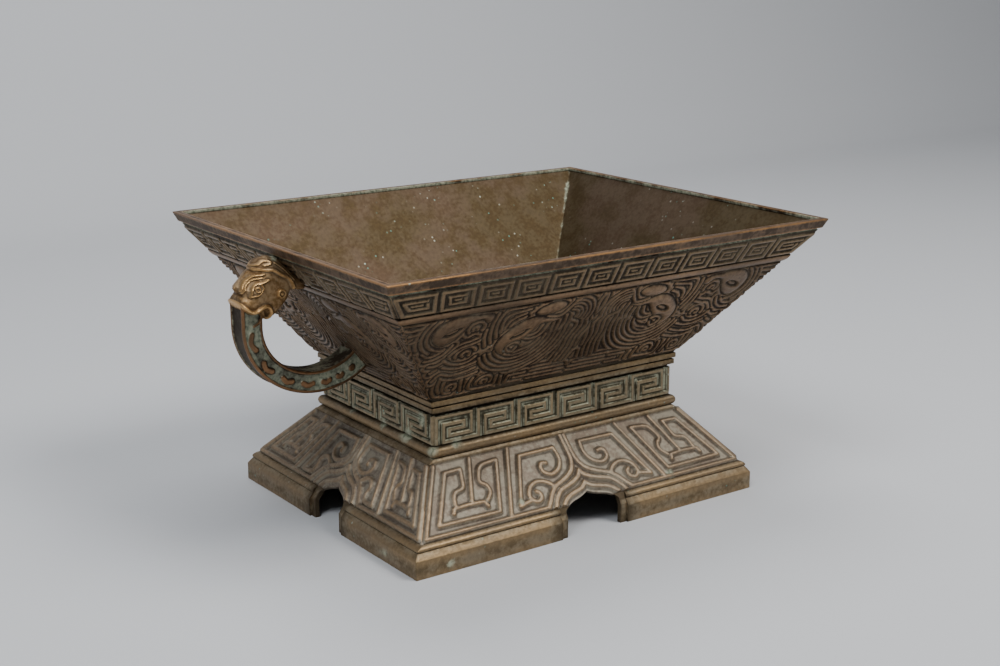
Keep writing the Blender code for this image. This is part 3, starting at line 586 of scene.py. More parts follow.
# %% The waist with its two fillets, and the floor inside it
CENTRE = np.array([0.0030, 0.0020])
waist_rows = [
    *rows_at(CENTRE, (Z_LOWER, 0.0, 0.2)),
    *rows_at(WAIST, (Z_LOWER, -FOOT_WALL, 0.2), (Z_WAIST - 0.0002, -FOOT_WALL, 0.2)),
    *rows_at(WAIST, (Z_WAIST - 0.0002, -0.0020, 0.0), (Z_WAIST_TOP, -0.0020, 0.0)),
    *rows_at(WAIST, (Z_LOWER, -0.0010, 0.0), (Z_LOWER, 0.0012, 0.6), (Z_LOWER_TOP, 0.0012, 0.9)),
    *rows_at(WAIST, (Z_LOWER_TOP + 0.0003, 0.0, 0.0), (Z_UPPER - 0.0003, 0.0, 0.0)),
    *rows_at(WAIST, (Z_UPPER, 0.0019, 0.7), (Z_UPPER_TOP, 0.0019, 1.0)),
    *rows_at(WAIST, (Z_UPPER_TOP + 0.0004, 0.0009, 0.0)),
    row(BOWL_LOW, 0.0, -0.0002),
    row(BOWL_LOW, 0.0, -0.0025),
    *rows_at(BOWL_LOW, (Z_UPPER - 0.0012, -0.0030, 0.0)),
    *rows_at(CENTRE, (Z_UPPER - 0.0012, 0.0, 0.0)),
]
ring("waist_mouldings", waist_rows, bronzes["moulding"], closed=False, reach=0.0004)

# %% [markdown]
# ## The bowl's lining
#
# Inside, the bowl is plain cast metal, worn smooth, with a rounded turn into its floor. It is a cup
# of its own, not the back of the carved walls, because it has a finish of its own. A line of
# verdigris runs down the seam in one corner, and its distance from that corner is all it needs.

# %% The bowl's lining
WALL = -0.0035
FLOOR = Z_UPPER
LIP, LIP_DROP = -0.0044, 0.0015
SEAM_WIDTH, SEAM_STRENGTH = 0.0030, 0.72
lining_rows = [
    *rows_at(CENTRE, (FLOOR, 0.0, 0.5)),
    *rows_at(on_bowl(FLOOR), (FLOOR, WALL - 0.0075, 0.5), (FLOOR, WALL - 0.0040, 0.5)),
    *rows_at(on_bowl(FLOOR), (FLOOR + 0.0006, WALL - 0.0016, 0.5)),
    row(on_bowl(FLOOR + 0.0034, WALL), 0.5),
    row(on_bowl(0.120, WALL), 0.55),
    row(on_bowl(HEIGHT - LIP_DROP - 0.0003, WALL), 0.6),
    row(on_bowl(HEIGHT - LIP_DROP - 0.0003, -0.0012), 0.3),
    row(on_bowl(Z_BOWL, 2 * BACKING * 0.8), 0.0),
    *rows_at(BOWL_LOW, (Z_BOWL - 0.0005, -0.0040, 0.0), (FLOOR - 0.0010, -0.0040, 0.0)),
    *rows_at(CENTRE, (FLOOR - 0.0010, 0.0, 0.0)),
]


def seam_damp(points):
    """Verdigris down the seam of the far right corner: it fades a few millimetres either side."""
    corner = BOWL_LOW[:2] + (BOWL_HIGH - BOWL_LOW)[:2] * up_bowl(points[:, 2:]) + WALL
    away = np.abs(corner - points[:, :2]).sum(axis=1)
    return np.exp(-((away / SEAM_WIDTH) ** 2)) * SEAM_STRENGTH


ring("bowl_lining", lining_rows, bronzes["lining"], closed=False, reach=0.0008, wet_at=seam_damp)

# %% [markdown]
# ## The border between the scrolls and the frames
#
# A half-round moulding divides the two carved bands of the bowl. It is a ring of its own, set a
# little into the wall, so that it covers the edges of the carved panels above and below it.

# %% The border
border_rows = [
    row(on_bowl(Z_BORDER), 0.0),
    *half_round(on_bowl(Z_BORDER), on_bowl(Z_FRET), 0.0014, 1.0),
    row(on_bowl(Z_FRET), 0.0),
    row(on_bowl(Z_FRET, -0.0020), 0.0),
    row(on_bowl(Z_BORDER, -0.0020), 0.0),
]
ring("bowl_border", border_rows, bronzes["scroll"], reach=0.0002)

# %% [markdown]
# ## The rim
#
# The rim is a thick lip over a narrow groove, with a small step inside where a cover would rest.
# Its edges are the brightest metal of the bowl: hands rub them, and they also carry a painted
# highlight. Their crest values say so in the profile itself, which is simpler than finding the
# edges again in the material.


# %% The rim
def smooth(share):
    """A smooth step: 3 times the square of the share less twice its cube, between 0 and 1."""
    share = np.clip(share, 0, 1)
    return share * share * (3 - 2 * share)


rim_rows = [
    row(on_bowl(Z_GROOVE, -0.0024), 0.0),
    row(on_bowl(Z_GROOVE), 0.0),
    *rows_at(BOWL_HIGH, ((Z_GROOVE + Z_RIM) / 2, -0.0004, 0.0)),
    # Thin rows of high crest along the rim's edges: rubbed metal and a painted highlight
    *rows_at(RIM, (Z_RIM, -0.0023, 0.9), (Z_RIM + 0.0010, -0.0019, 0.35)),
    *rows_at(RIM, (HEIGHT - 0.0014, -0.0005, 0.35), (HEIGHT - 0.0003, 0.0, 1.0)),
    *rows_at(RIM, (HEIGHT, -0.0008, 1.0), (HEIGHT, -0.0025, 0.4), (HEIGHT, LIP, 0.9)),
    *rows_at(RIM, (HEIGHT - LIP_DROP, LIP, 0.1)),
    *rows_at(RIM, (HEIGHT - LIP_DROP - 0.0012, LIP + 0.0006, 0.1)),
]


def lip_verdigris_and_highlight(points):
    """A pale line on the inner face of the lip: verdigris colour, and a painted highlight along its
    edge.
    """
    inward = np.minimum(RIM[0] - np.abs(points[:, 0]), RIM[1] - np.abs(points[:, 1]))
    return 0.8 * smooth((inward + LIP + 0.0005) / 0.0004)


ring("rim_band", rim_rows, bronzes["rim"], reach=0.0004, wet_at=lip_verdigris_and_highlight)

# %% [markdown]
# ## Carving
#
# On the real vessel the carving was cast with the walls and then sharpened with a chisel. A
# sculpted mesh or a painted height map could show it. Here each carved side is a height field over
# a flat trapezoid, with u to the right and v up it, because lines drawn with numbers stay sharp at
# any size. The first helpers measure how far each point of the field is from a drawn line, and
# whether it is inside a closed one.


# %% Distances
def distance_to_line(u, v, line, power=2):
    """The least distance to a line's stretches; a high power gives it square ends and corners."""
    least = np.full(u.shape, np.inf)
    for start, end in zip(line[:-1], line[1:]):
        run = end - start
        share = ((u - start[0]) * run[0] + (v - start[1]) * run[1]) / max(run @ run, 1e-18)
        share = np.clip(share, 0, 1)
        side = np.abs(u - start[0] - share * run[0]) + 1e-12
        rise = np.abs(v - start[1] - share * run[1]) + 1e-12
        most = np.maximum(side, rise)
        away = most * ((side / most) ** power + (rise / most) ** power) ** (1 / power)
        least = np.minimum(least, away)
    return least


def inside(u, v, outline):
    """Whether each point is inside a closed outline, by counting the edges to its right."""
    crossed = np.zeros(u.shape, bool)
    for (x0, y0), (x1, y1) in zip(outline, np.roll(outline, -1, axis=0)):
        spans = (y0 > v) != (y1 > v)
        crossed ^= spans & (u < x0 + (v - y0) * (x1 - x0) / ((y1 - y0) or 1e-12))
    return crossed


# %% [markdown]
# The field is the highest of its ridges and swellings. A ridge is a line with a half width, and the
# height falls smoothly from its crest with the distance to the line. A swelling is a closed outline
# whose height rises inwards from its edge, and a hollow is one that sinks. Taking the highest, and
# not the sum, keeps a crossing of two ridges as low as either.


# %% Ridges, swellings and hollows
def raise_ridge(field, u, v, line, half_width, height, flat=0.25, power=2):
    """Lift the field to a ridge along a line wherever the ridge is higher."""
    line = np.asarray(line, float)
    low, high = line.min(axis=0) - half_width, line.max(axis=0) + half_width
    near = (u > low[0]) & (u < high[0]) & (v > low[1]) & (v < high[1])
    away = distance_to_line(u[near], v[near], line, power)
    lifted = height * smooth((half_width - away) / (half_width * (1 - flat)))
    field[near] = np.maximum(field[near], lifted)


def depth_inside(u, v, outline):
    """Which points are near a closed outline, and how deep inside it each of those is."""
    outline = np.asarray(outline, float)
    low, high = outline.min(axis=0), outline.max(axis=0)
    near = (u > low[0]) & (u < high[0]) & (v > low[1]) & (v < high[1])
    closed = np.concatenate([outline, outline[:1]])
    return near, distance_to_line(u[near], v[near], closed) * inside(u[near], v[near], outline)


def raise_swelling(field, u, v, outline, height, edge):
    """Lift the field inside an outline, with a rounded shoulder as wide as edge."""
    near, away = depth_inside(u, v, outline)
    lifted = height * np.sqrt(1 - (1 - np.clip(away / edge, 0, 1)) ** 2)
    field[near] = np.maximum(field[near], lifted)


def sink(field, u, v, outline, floor, edge):
    """Lower the field inside an outline to a floor, with a sloping side as wide as edge."""
    near, away = depth_inside(u, v, outline)
    share = smooth(away / edge)
    field[near] = field[near] * (1 - share) + np.minimum(field[near], floor) * share


# %% [markdown]
# A chisel turns slowly, so a carved line is a smooth curve. A Bezier curve would need two handles
# for each point. These curves pass through plain points, so a line is written down as it was
# measured.


# %% Curves
def flowing(points, closed=False, steps=6):
    """A smooth line through points: each stretch is a cubic whose ends follow their neighbours."""
    points = np.asarray(points, float)
    if closed:
        padded = np.concatenate([points[-1:], points, points[:2]])
    else:
        padded = np.concatenate([points[:1], points, points[-1:]])
    a, b, c, d = padded[:-3], padded[1:-2], padded[2:-1], padded[3:]
    t = (np.arange(steps) / steps)[None, :, None]
    a, b, c, d = (one[:, None] for one in (a, b, c, d))
    curve = b + t * (c - a) / 2 + t**2 * (a - 2.5 * b + 2 * c - d / 2)
    curve = curve + t**3 * (-a + 3 * b - 3 * c + d) / 2
    curve = curve.reshape(-1, 2)
    return curve if closed else np.concatenate([curve, points[-1:]])


def arc(centre, radius, start, end, end_radius=None, steps=24):
    """An arc in degrees, anticlockwise from the first axis, or a spiral."""
    turn = np.radians(np.linspace(start, end, steps + 1))
    reach = np.linspace(radius, radius if end_radius is None else end_radius, steps + 1)
    return np.stack([centre[0] + reach * np.cos(turn), centre[1] + reach * np.sin(turn)], axis=1)


def ellipse(centre, length, width, tilt, steps=32):
    """A tilted ellipse, anticlockwise."""
    turn = np.arange(steps) * 2 * math.pi / steps
    along, across = length / 2 * np.cos(turn), width / 2 * np.sin(turn)
    lean = math.radians(tilt)
    x = centre[0] + along * math.cos(lean) - across * math.sin(lean)
    y = centre[1] + along * math.sin(lean) + across * math.cos(lean)
    return np.stack([x, y], axis=1)


# %% [markdown]
# ## A side and its panel
#
# A side knows its own width and height and which way it faces, so one set of lines serves the
# front and the back. Displacing the whole vessel would make it equally fine everywhere. A panel of
# its own is as fine as its carving needs, and its back lies inside the wall, so no gap shows round
# it.


# %% One side of the vessel
class Side:
    """A flat side between two levels, seen from outside: 0 is the front, then anticlockwise."""

    def __init__(self, low, high, number):
        self.number = number
        left, right = self.corner(low, number), self.corner(low, number + 1)
        top_left, top_right = self.corner(high, number), self.corner(high, number + 1)
        self.origin = (left + right) / 2
        top = (top_left + top_right) / 2
        self.height = np.linalg.norm(top - self.origin)
        self.low_half = np.linalg.norm(right - left) / 2
        self.high_half = np.linalg.norm(top_right - top_left) / 2
        self.along = (right - left) / (2 * self.low_half)
        self.up = (top - self.origin) / self.height
        self.out = np.cross(self.along, self.up)
        self.long = number % 2 == 0

    @staticmethod
    def corner(half_level, number):
        """One corner of a level, counted anticlockwise from the left of the front."""
        across = (-1, 1, 1, -1)[number % 4]
        back = (-1, -1, 1, 1)[number % 4]
        return np.array([across * half_level[0], back * half_level[1], half_level[2]])

    def half(self, v):
        """Half the side's width at a distance up it."""
        return self.low_half + (self.high_half - self.low_half) * v / self.height

    def place(self, shares):
        """Points given as shares of the half width at their height, and of the height."""
        shares = np.asarray(shares, float)
        v = shares[:, 1] * self.height
        return np.stack([shares[:, 0] * self.half(v), v], axis=1)


# %% [markdown]
# A panel also works out its crest values. Rubbing reaches what stands above its surroundings, so
# the crest value is the height less the softened height. Measured this way, a wide flat field
# stays of a middle tone, and the foot of each ridge is darkened with painted shade.


# %% Softened heights and closed slabs
def softened(field, times):
    """A field with each value set to the mean of its neighbours, several times over."""
    for _ in range(times):
        edged = np.pad(field, 1, mode="edge")
        field = (edged[:-2, 1:-1] + edged[2:, 1:-1] + edged[1:-1, :-2] + edged[1:-1, 2:]) / 4
    return field


def closed_slab(front, behind):
    """The front's grid, walls from its edge to the edge of what is behind it, and one flat back."""
    rows, columns = front.shape[:2]
    index = np.arange(rows * columns).reshape(rows, columns)
    rim = np.concatenate([index[0], index[1:, -1], index[-1, -2::-1], index[-2:0:-1, 0]])
    first, loop = rows * columns, np.arange(len(rim))
    after = (loop + 1) % len(rim)
    walls = np.stack([rim[after], rim[loop], first + loop, first + after], axis=1)
    points = np.concatenate([front.reshape(-1, 3), behind.reshape(-1, 3)[rim]])
    return points, np.concatenate([sheet_of_quads(rows, columns), walls]), [first + loop[::-1]]


# %% [markdown]
# The panel is then worked out in one go. Its carving comes from a function handed to it, so the
# same lines of code make all sixteen panels. The last millimetre beside each corner of the vessel
# is drawn in a little, because a cast corner is rounded.


# %% A carved panel
PANEL_DEPTH = 0.0020
SIDE_NAMES = ("front", "right", "back", "left")
COARSER = (1.0, 1.7, 1.7, 1.2)
SHADOW_REACH = 0.0009
EDGE_ROUND, EDGE_PULL, EDGE_CREST = 0.0009, 0.3, 0.9
SIDE_FADE, LOW_FADE = 0.0006, 0.0004


def panel(band, side, carve, finish, deepest, step, lower_edge=None):
    """A carved side as a thin closed slab: a height field before a flat back inside the wall."""
    step = step * COARSER[side.number] * 1.0
    rows = int(side.height / step) + 2
    columns = int((side.low_half + side.high_half) / step) + 2
    across = np.linspace(-1, 1, columns)[None, :]
    start = np.zeros(across.shape)
    # A side's width changes with the height, so the lower edge settles in four rounds
    if lower_edge:
        for _ in range(4):
            start = np.maximum(lower_edge(np.abs(across) * side.half(start)), 0)
    v = start + (side.height - start) * np.linspace(0, 1, rows)[:, None]
    u = across * side.half(v)
    field = np.zeros(u.shape)
    carve(side, field, u, v)
    share = field / deepest
    blurs = max(1, round(2 * (SHADOW_REACH / step) ** 2))
    # A low crest value at the foot of each ridge is painted shade in the finish
    crest = 0.35 + 0.3 * share + share - softened(share, blurs)
    # The corner is rounded by drawing the last millimetre in along both sides' ways out
    to_edge = side.half(v) - np.abs(u)
    corner = (1 - np.clip(to_edge / EDGE_ROUND, 0, 1)) ** 2
    field *= smooth(to_edge / SIDE_FADE) * smooth(v / LOW_FADE + (start > 0))
    pull = EDGE_PULL * EDGE_ROUND * corner
    crest = np.maximum(crest, corner * EDGE_CREST)
    flat = side.origin + u[..., None] * side.along + v[..., None] * side.up
    inward = -np.sign(u) * pull * math.sqrt(1 - side.out[2] ** 2)
    front = flat + (field - pull)[..., None] * side.out + inward[..., None] * side.along
    squeeze = (-PANEL_DEPTH * u / side.half(v))[..., None] * side.along
    points, quads, caps = closed_slab(front, flat + squeeze - PANEL_DEPTH * side.out)
    crest = np.concatenate([crest.ravel(), np.zeros(len(points) - crest.size)])
    name = f"{band}_{SIDE_NAMES[side.number]}"
    piece(name, points, quads, caps, finish, crest)


def all_round(band, low, high, carve, finish, deepest, step, edge_of=None):
    """The same band of carving on all four sides, between two levels."""
    for number in range(4):
        side = Side(low, high, number)
        panel(band, side, carve, finish, deepest, step, edge_of(side) if edge_of else None)


# %% [markdown]
# ## The fret round the waist
#
# The waist carries a running fret, the squared spiral that fills so many borders. One unit winds
# in to its middle and out again into the next. An array of boxes would leave joints between them,
# so it is a single line of upright and level stretches, raised with square ends and corners.


# %% The waist's running fret
WAIST_FRET_HEIGHT = 0.0012
WAIST_RIDGE, WAIST_FLAT, WAIST_MARGIN = 0.00135, 0.58, 0.0011
TURN_LEVELS = np.array([0.0011, 0.0044, 0.0077, 0.0111, 0.0158])
TURNS = (
    (0.0, 0), (0.0, 4), (0.83, 4), (0.83, 1), (0.306, 1), (0.306, 2), (0.655, 2), (0.655, 3),
    (0.17, 3), (0.17, 0),
)


def carve_waist(side, field, u, v):
    """Each unit's line turns at shares of its pitch and at five levels, then joins the next."""
    units = 6 if side.long else 4
    end = side.low_half - WAIST_MARGIN
    pitch = 2 * end / (units + 0.02)
    line = [
        ((unit + x) * pitch - end, TURN_LEVELS[at]) for unit in range(units) for x, at in TURNS
    ]
    line += [(end, TURN_LEVELS[0]), (end, TURN_LEVELS[4])]
    raise_ridge(field, u, v, line, WAIST_RIDGE, WAIST_FRET_HEIGHT, WAIST_FLAT, power=8)


all_round(
    "waist_fret", level(WAIST, Z_WAIST, -0.0010), level(WAIST, Z_WAIST_TOP, -0.0010),
    carve_waist, bronzes["waist"], WAIST_FRET_HEIGHT, step=0.00045,
)

# %% [markdown]
# ## The frames under the rim
#
# Under the rim runs a row of nested frames. Each is a leaning box inside another, open at one side,
# with a short bar at its heart. The cells could be copies of one, but the side grows wider upwards,
# so each is drawn from its own four corners and fits its place.


# %% The rim's frames
RIM_FRET_HEIGHT = 0.0011
LEAN, SPREAD, RIM_MARGIN = -0.0016, 0.35, 0.0003
OUTER_INSET, INNER_INSET, HEART_INSET = (0.0022, 0.0020), (0.0066, 0.0060), (0.0098, 0.0)
OUTER_RIDGE, INNER_RIDGE, HEART_RIDGE = 0.00155, 0.00130, 0.00100


def carve_rim(side, field, u, v):
    """Each cell's lines are its own four corners drawn towards its middle by a few millimetres."""
    units = 12 if side.long else 10
    low, high = RIM_MARGIN, side.height - RIM_MARGIN
    even = np.arange(units + 1) / units - 0.5
    stops = [2 * side.half(at) * even for at in (low, high)]
    stops[1][1:-1] = stops[0][1:-1] + LEAN + SPREAD * (stops[1] - stops[0])[1:-1]
    for unit in range(units):
        foot, head = ([stop[unit], stop[unit + 1]] for stop in stops)
        cell = np.array([(foot[0], low), (foot[1], low), (head[1], high), (head[0], high)])
        middle = cell.mean(axis=0)
        width = (cell[1, 0] - cell[0, 0] + cell[2, 0] - cell[3, 0]) / 2

        def nested(in_x, in_y):
            shrink = np.array([1 - 2 * in_x / width, 1 - 2 * in_y / (high - low)])
            return middle + (cell - middle) * shrink

        outer = nested(*OUTER_INSET)[[0, 1, 2, 3, 0]]
        inner = nested(*INNER_INSET)
        curl = [inner[2], inner[3], inner[0], inner[1], inner[1] + (inner[2] - inner[1]) * 0.5]
        heart = nested(*HEART_INSET)
        bar = [(heart[0] + heart[3]) / 2, (heart[1] + heart[2]) / 2]
        raise_ridge(field, u, v, outer, OUTER_RIDGE, RIM_FRET_HEIGHT, 0.35, power=6)
        raise_ridge(field, u, v, curl, INNER_RIDGE, RIM_FRET_HEIGHT * 0.95, 0.3, power=6)
        raise_ridge(field, u, v, bar, HEART_RIDGE, RIM_FRET_HEIGHT * 0.9, 0.3, power=6)


all_round(
    "rim_frames", on_bowl(Z_FRET), BOWL_HIGH,
    carve_rim, bronzes["rim_fret"], RIM_FRET_HEIGHT, step=0.00047,
)

# %% [markdown]
# ## The scrolls on the bowl
#
# Each wall of the bowl shows interlaced dragons, half animal and half cloud, with the right half
# the mirror of the left. There are two eyed bodies on each half, a boss like a cloud, and rings and
# plumes of parallel ridges that fill all that is left. They are drawn in modules of about a
# millimetre, counted out from the middle of the side and up it. The drawn lines lead, and ripples
# at an even pitch follow them, which fills the ground with far fewer lines than it has ridges.


# %% Rings, fans and curls
# Each ring is a radius with its start and end in degrees; a curl may end at another radius
RING_MIDDLE = (46, 41)
RINGS = (
    (13.0, -22, -172), (16.0, -24, -182), (19.2, -26, -190), (22.3, -22, -193), (25.5, -24, -186),
)
FAN_MIDDLE, FAN_RADII, FAN_TURN = (18.5, 54.0), (14.6, 12.0, 9.5, 7.0, 4.6), (84, 205)
CURLS = (
    ((97, 57.5), 14.2, 48, -92), ((97, 57.5), 17.4, 42, -60), ((97, 57.5), 20.6, 30, -30),
    ((81.6, 57.0), 5.6, 205, -40, 4.2), ((82.0, 56.6), 2.0, 200, -60, 1.2),
    ((80.6, 36.2), 6.6, 160, -20, 5.6), ((80.6, 36.2), 3.2, 200, -60, 1.6),
    ((79.0, 8.4), 3.8, 220, -90, 2.2), ((57.5, 8.6), 5.0, 200, -20, 4.6),
    ((57.5, 8.2), 2.2, 200, -80, 1.4),
)
print("arcs on one half:", len(RINGS) + len(FAN_RADII) + len(CURLS))

# %% [markdown]
# The plumes are the lines between the rings. Each is given by a few points that the chisel passes
# through, region by region from the middle outwards. Traced curves would need far more points and
# would be no easier to change.


# %% The dragons' lines
PLUMES = (
    # The fan beside the middle
    [(17, 68.5), (20, 65), (22.5, 60), (26, 55.5), (31, 55.5), (35, 56.5)],
    [(-2.0, 47), (0.2, 39), (2.0, 33), (2.6, 25)],
    [(4.2, 55), (4.5, 48), (2.8, 42), (5.5, 33), (5.2, 24), (7.5, 14)],
    [(8.2, 49), (6.8, 43), (8.6, 34), (8.4, 25), (11, 14)],
    [(21.5, 55), (20.5, 48), (22, 43)],
    [(25, 53), (24.2, 47), (25, 43)],
    [(28.6, 52), (27.6, 46), (28.2, 41)],
    [(1.0, 67.5), (2.0, 61), (1.2, 55), (-1.2, 50)],
    # Nested wedges between the two bodies
    [(46.5, 69.0), (55, 68.0), (64.5, 67.6), (67.6, 63), (67.4, 54), (64.5, 46)],
    [(50, 65.6), (57, 64.4), (62.3, 63.2), (64.4, 58), (63.0, 50)],
    [(52, 62.6), (57.5, 60.6), (60.8, 56.8), (61.6, 52)],
    [(51, 59.6), (55.6, 57.2), (58.4, 53.6)],
    [(70.6, 66), (71.0, 58), (69.0, 48), (66.6, 42)],
    [(73.6, 54), (72.4, 47), (69.4, 40)],
    # The inner dragon's cheek, jaw and nose
    [(31.4, 50.5), (32.5, 45), (35.5, 41), (40, 39.8), (44.5, 41)],
    [(35.4, 49.5), (37.0, 44.8), (40.6, 42.6), (44, 43.2)],
    [(33, 38), (37.4, 33.2), (42.6, 31.4), (47, 30.0)],
    [(46.6, 37.6), (50, 38.6), (53.6, 36.2), (52.4, 32.6), (48.6, 31.2), (46.8, 34.0)],
    # What flows under the outer dragon and behind it
    [(75.0, 46), (80, 44.0), (86, 42.6), (90.5, 37)],
    [(72.5, 33), (76, 29.6), (82, 28.4), (88, 30.2), (93, 34)],
    [(70.5, 28.0), (77, 25.6), (84, 25.2), (91, 27.6)],
    [(69.0, 23.0), (76, 20.6), (84, 19.6), (91, 22.0), (94, 17)],
    [(66.0, 18.4), (72, 16.4), (80, 15.4), (87, 16.8)],
    [(92.0, 46), (94.6, 40.6), (99.4, 36.8), (105.5, 36.2)],
    [(96.4, 44), (99.6, 40.6), (105, 39.4), (109, 42.5)],
    [(93.0, 33), (97, 30.4), (101, 30.8)],
    [(95.0, 27), (98, 25.0)],
    [(111, 68.6), (119, 68.0), (129, 68.6)],
    [(116, 64.6), (123, 63.8), (127, 64.6)],
    [(118, 60.4), (123, 59.6)],
    [(116.6, 55.4), (119.6, 54.0)],
    # Small scrolls along the foot of the wall
    [(88.6, 18), (87.6, 10), (85.2, 5.4)],
    [(84.6, 14), (84.0, 8), (81.6, 4.4), (77.5, 3.8)],
    [(73.4, 13.6), (72.2, 8), (70.8, 3.6)],
    [(66.0, 13.4), (66.6, 8), (64.6, 3.6), (57, 2.8), (50, 3.4)],
    [(49.6, 11.4), (49.0, 6), (49.4, 2.6)],
)
STRAIGHT = (
    [(46.0, 9.6), (44.6, 2.8)],
    [(30.0, 9.2), (41.0, 9.0), (41.0, 2.9), (30.0, 2.9)],
    [(4.0, 9.4), (26.0, 9.3)],
    [(2.0, 6.0), (36.0, 6.0)],
    [(2.0, 2.8), (26.0, 2.8)],
)


def dragon_lines():
    """The crest lines of one half, in modules."""
    lines = [arc(RING_MIDDLE, *ring_arc) for ring_arc in RINGS]
    lines += [arc(FAN_MIDDLE, radius, *FAN_TURN) for radius in FAN_RADII]
    lines += [arc(*curl) for curl in CURLS]
    lines += [flowing(plume) for plume in PLUMES]
    return lines + [np.array(bar) for bar in STRAIGHT]


print("lines on one half:", len(dragon_lines()))

# %% [markdown]
# The two bodies and the boss swell out of the ripples. Each is a closed outline with the width of
# its rounded shoulder, because a body drawn as a thick ridge would be round where the real one is
# flat.


# %% The dragons' bodies
INNER = (
    (24, 53.5), (29, 54.6), (35, 56.0), (43, 58.2), (50, 56.8), (56, 52.2), (61.6, 45), (62.4, 38),
    (58.6, 32), (53.6, 30.0), (54.8, 35.8), (51, 39.6), (46, 40.2), (42, 45.0), (36.5, 51.4),
    (30, 51.0),
)
OUTER = (
    (72.4, 62), (74.6, 66.8), (84, 67.6), (94, 68.8), (103, 66.8), (108.2, 60.4), (107.0, 52.6),
    (101.5, 47.4), (96.4, 47.8), (92.4, 51.0), (88.8, 57), (86, 62.4), (80, 63.6), (76.2, 60.0),
)


def dragon_swellings():
    """The bodies and the boss of one half, as (outline, shoulder) in modules."""
    boss = ellipse((35.4, 62.9), 20, 9.6, -8)
    return [(flowing(INNER, True), 4.2), (flowing(OUTER, True), 4.6), (boss, 4.4)]


# %% [markdown]
# The ripples come from one field: the distance to the nearest line, or to the edge of a body. Each
# time it grows by one pitch there is another ridge. Drawing every plume by hand would take hundreds
# of lines. The eyes are sunk into the bodies last.


# %% The scroll panels
SCROLL_HEIGHT = 0.0012
MODULES = np.array([124.0, 69.0])
MEASURED_AT = 0.84
PLUME_PITCH = 3.3
BODY_RISE, GROOVE_POWER, WORN_AWAY = 1.45, 1.7, 0.15
# The middle and tilt of each eye, and the length and width of its socket and pupil, in modules
EYES = (((49.6, 46.4), -28), ((96.6, 57.6), -24))
SOCKET, PUPIL, SOCKET_FLOOR = (13.5, 5.6), (7.6, 2.8), 0.0004
PANEL_MARGIN = 0.0012


def carve_scrolls(side, field, u, v):
    """Ripples follow the drawn lines at an even pitch, and the bodies rise out of them."""
    half = u.shape[1] // 2
    a, b = u[:, half:], v[:, half:]
    scale = np.array([side.half(MEASURED_AT * side.height), side.height]) / MODULES
    width = math.sqrt(scale[0] * scale[1])
    away = np.full(a.shape, np.inf)
    for line in dragon_lines():
        away = np.minimum(away, distance_to_line(a, b, line * scale))
    bodies, taken = np.zeros(a.shape), np.zeros(a.shape, bool)
    for outline, shoulder in dragon_swellings():
        edge = outline * scale
        apart = distance_to_line(a, b, np.concatenate([edge, edge[:1]]))
        within = inside(a, b, edge)
        taken |= within
        away = np.minimum(away, apart + PLUME_PITCH / 2 * width)
        share = 1 - (1 - np.clip(apart / (shoulder * width), 0, 1)) ** 2
        bodies = np.maximum(bodies, within * BODY_RISE * np.sqrt(share))
    turns = away / (PLUME_PITCH * width)
    groove = np.abs(2 * ((turns + 0.5) % 1) - 1)
    worn = 1 - WORN_AWAY * smooth(turns - 1.2)
    relief = np.where(taken, bodies, worn * (1 - np.clip(groove, 0, 1) ** GROOVE_POWER))
    relief = relief * smooth(np.minimum(b, side.height - b) / PANEL_MARGIN)
    lifted = SCROLL_HEIGHT * relief
    for place, tilt in EYES:
        socket, pupil = (ellipse(place * scale, *(size * scale), tilt) for size in (SOCKET, PUPIL))
        sink(lifted, a, b, socket, SOCKET_FLOOR, width)
        raise_swelling(lifted, a, b, pupil, SCROLL_HEIGHT, 1.2 * width)
    field[:, half:] = lifted
    field[:, : u.shape[1] - half] = lifted[:, ::-1][:, : u.shape[1] - half]


all_round(
    "scrolls", BOWL_LOW, on_bowl(Z_BORDER),
    carve_scrolls, bronzes["scroll"], SCROLL_HEIGHT, step=0.00047,
)

# %% [markdown]
# ## The foot
#
# The foot's sloping sides carry frames and hooks on each half, with mouldings that arch over the
# opening and run on along the base and up the corner. Each panel starts at the edge of its opening:
# its lowest row follows the arch, so it needs no cutting and its grid stays whole.


# %% Where the foot panels start
FOOT_RIDGE = 0.00205
FOOT_HEIGHT = 0.0019
NOTCH_HALF = (0.0190, 0.0135)
NOTCH_SHOULDER, NOTCH_RISE = 0.0150, 0.0068


def arch_height(share):
    """The arch over an opening, from its crown at 0 to its foot at 1: a haunch and a cusp."""
    share = np.clip(share, 0, 1)
    return 0.6 * (1 - share**5) + 0.4 * (1 - share) ** 3


def arch_line(half_span, base, crown, steps=28):
    """Points along half an arch, from its crown to its foot."""
    share = np.linspace(0, 1, steps)
    return np.stack([half_span * share, base + (crown - base) * arch_height(share)], axis=1)


def notch_edge(side):
    """Where the foot's panel starts above the opening, for each distance from the middle."""
    half_span = NOTCH_HALF[0 if side.long else 1]
    slope = side.height / (Z_FOOT_TOP - Z_FOOT)

    def edge(away):
        rise = NOTCH_SHOULDER + NOTCH_RISE * arch_height(away / half_span) - Z_FOOT
        return np.where(away < half_span, rise * slope, -1.0)

    return edge


# %% [markdown]
# The pattern is drawn once, in millimetres on the right half of a long side. The short sides have
# the same frames between uprights that stand elsewhere, so a drawn point keeps its share of the way
# between the two uprights beside it.


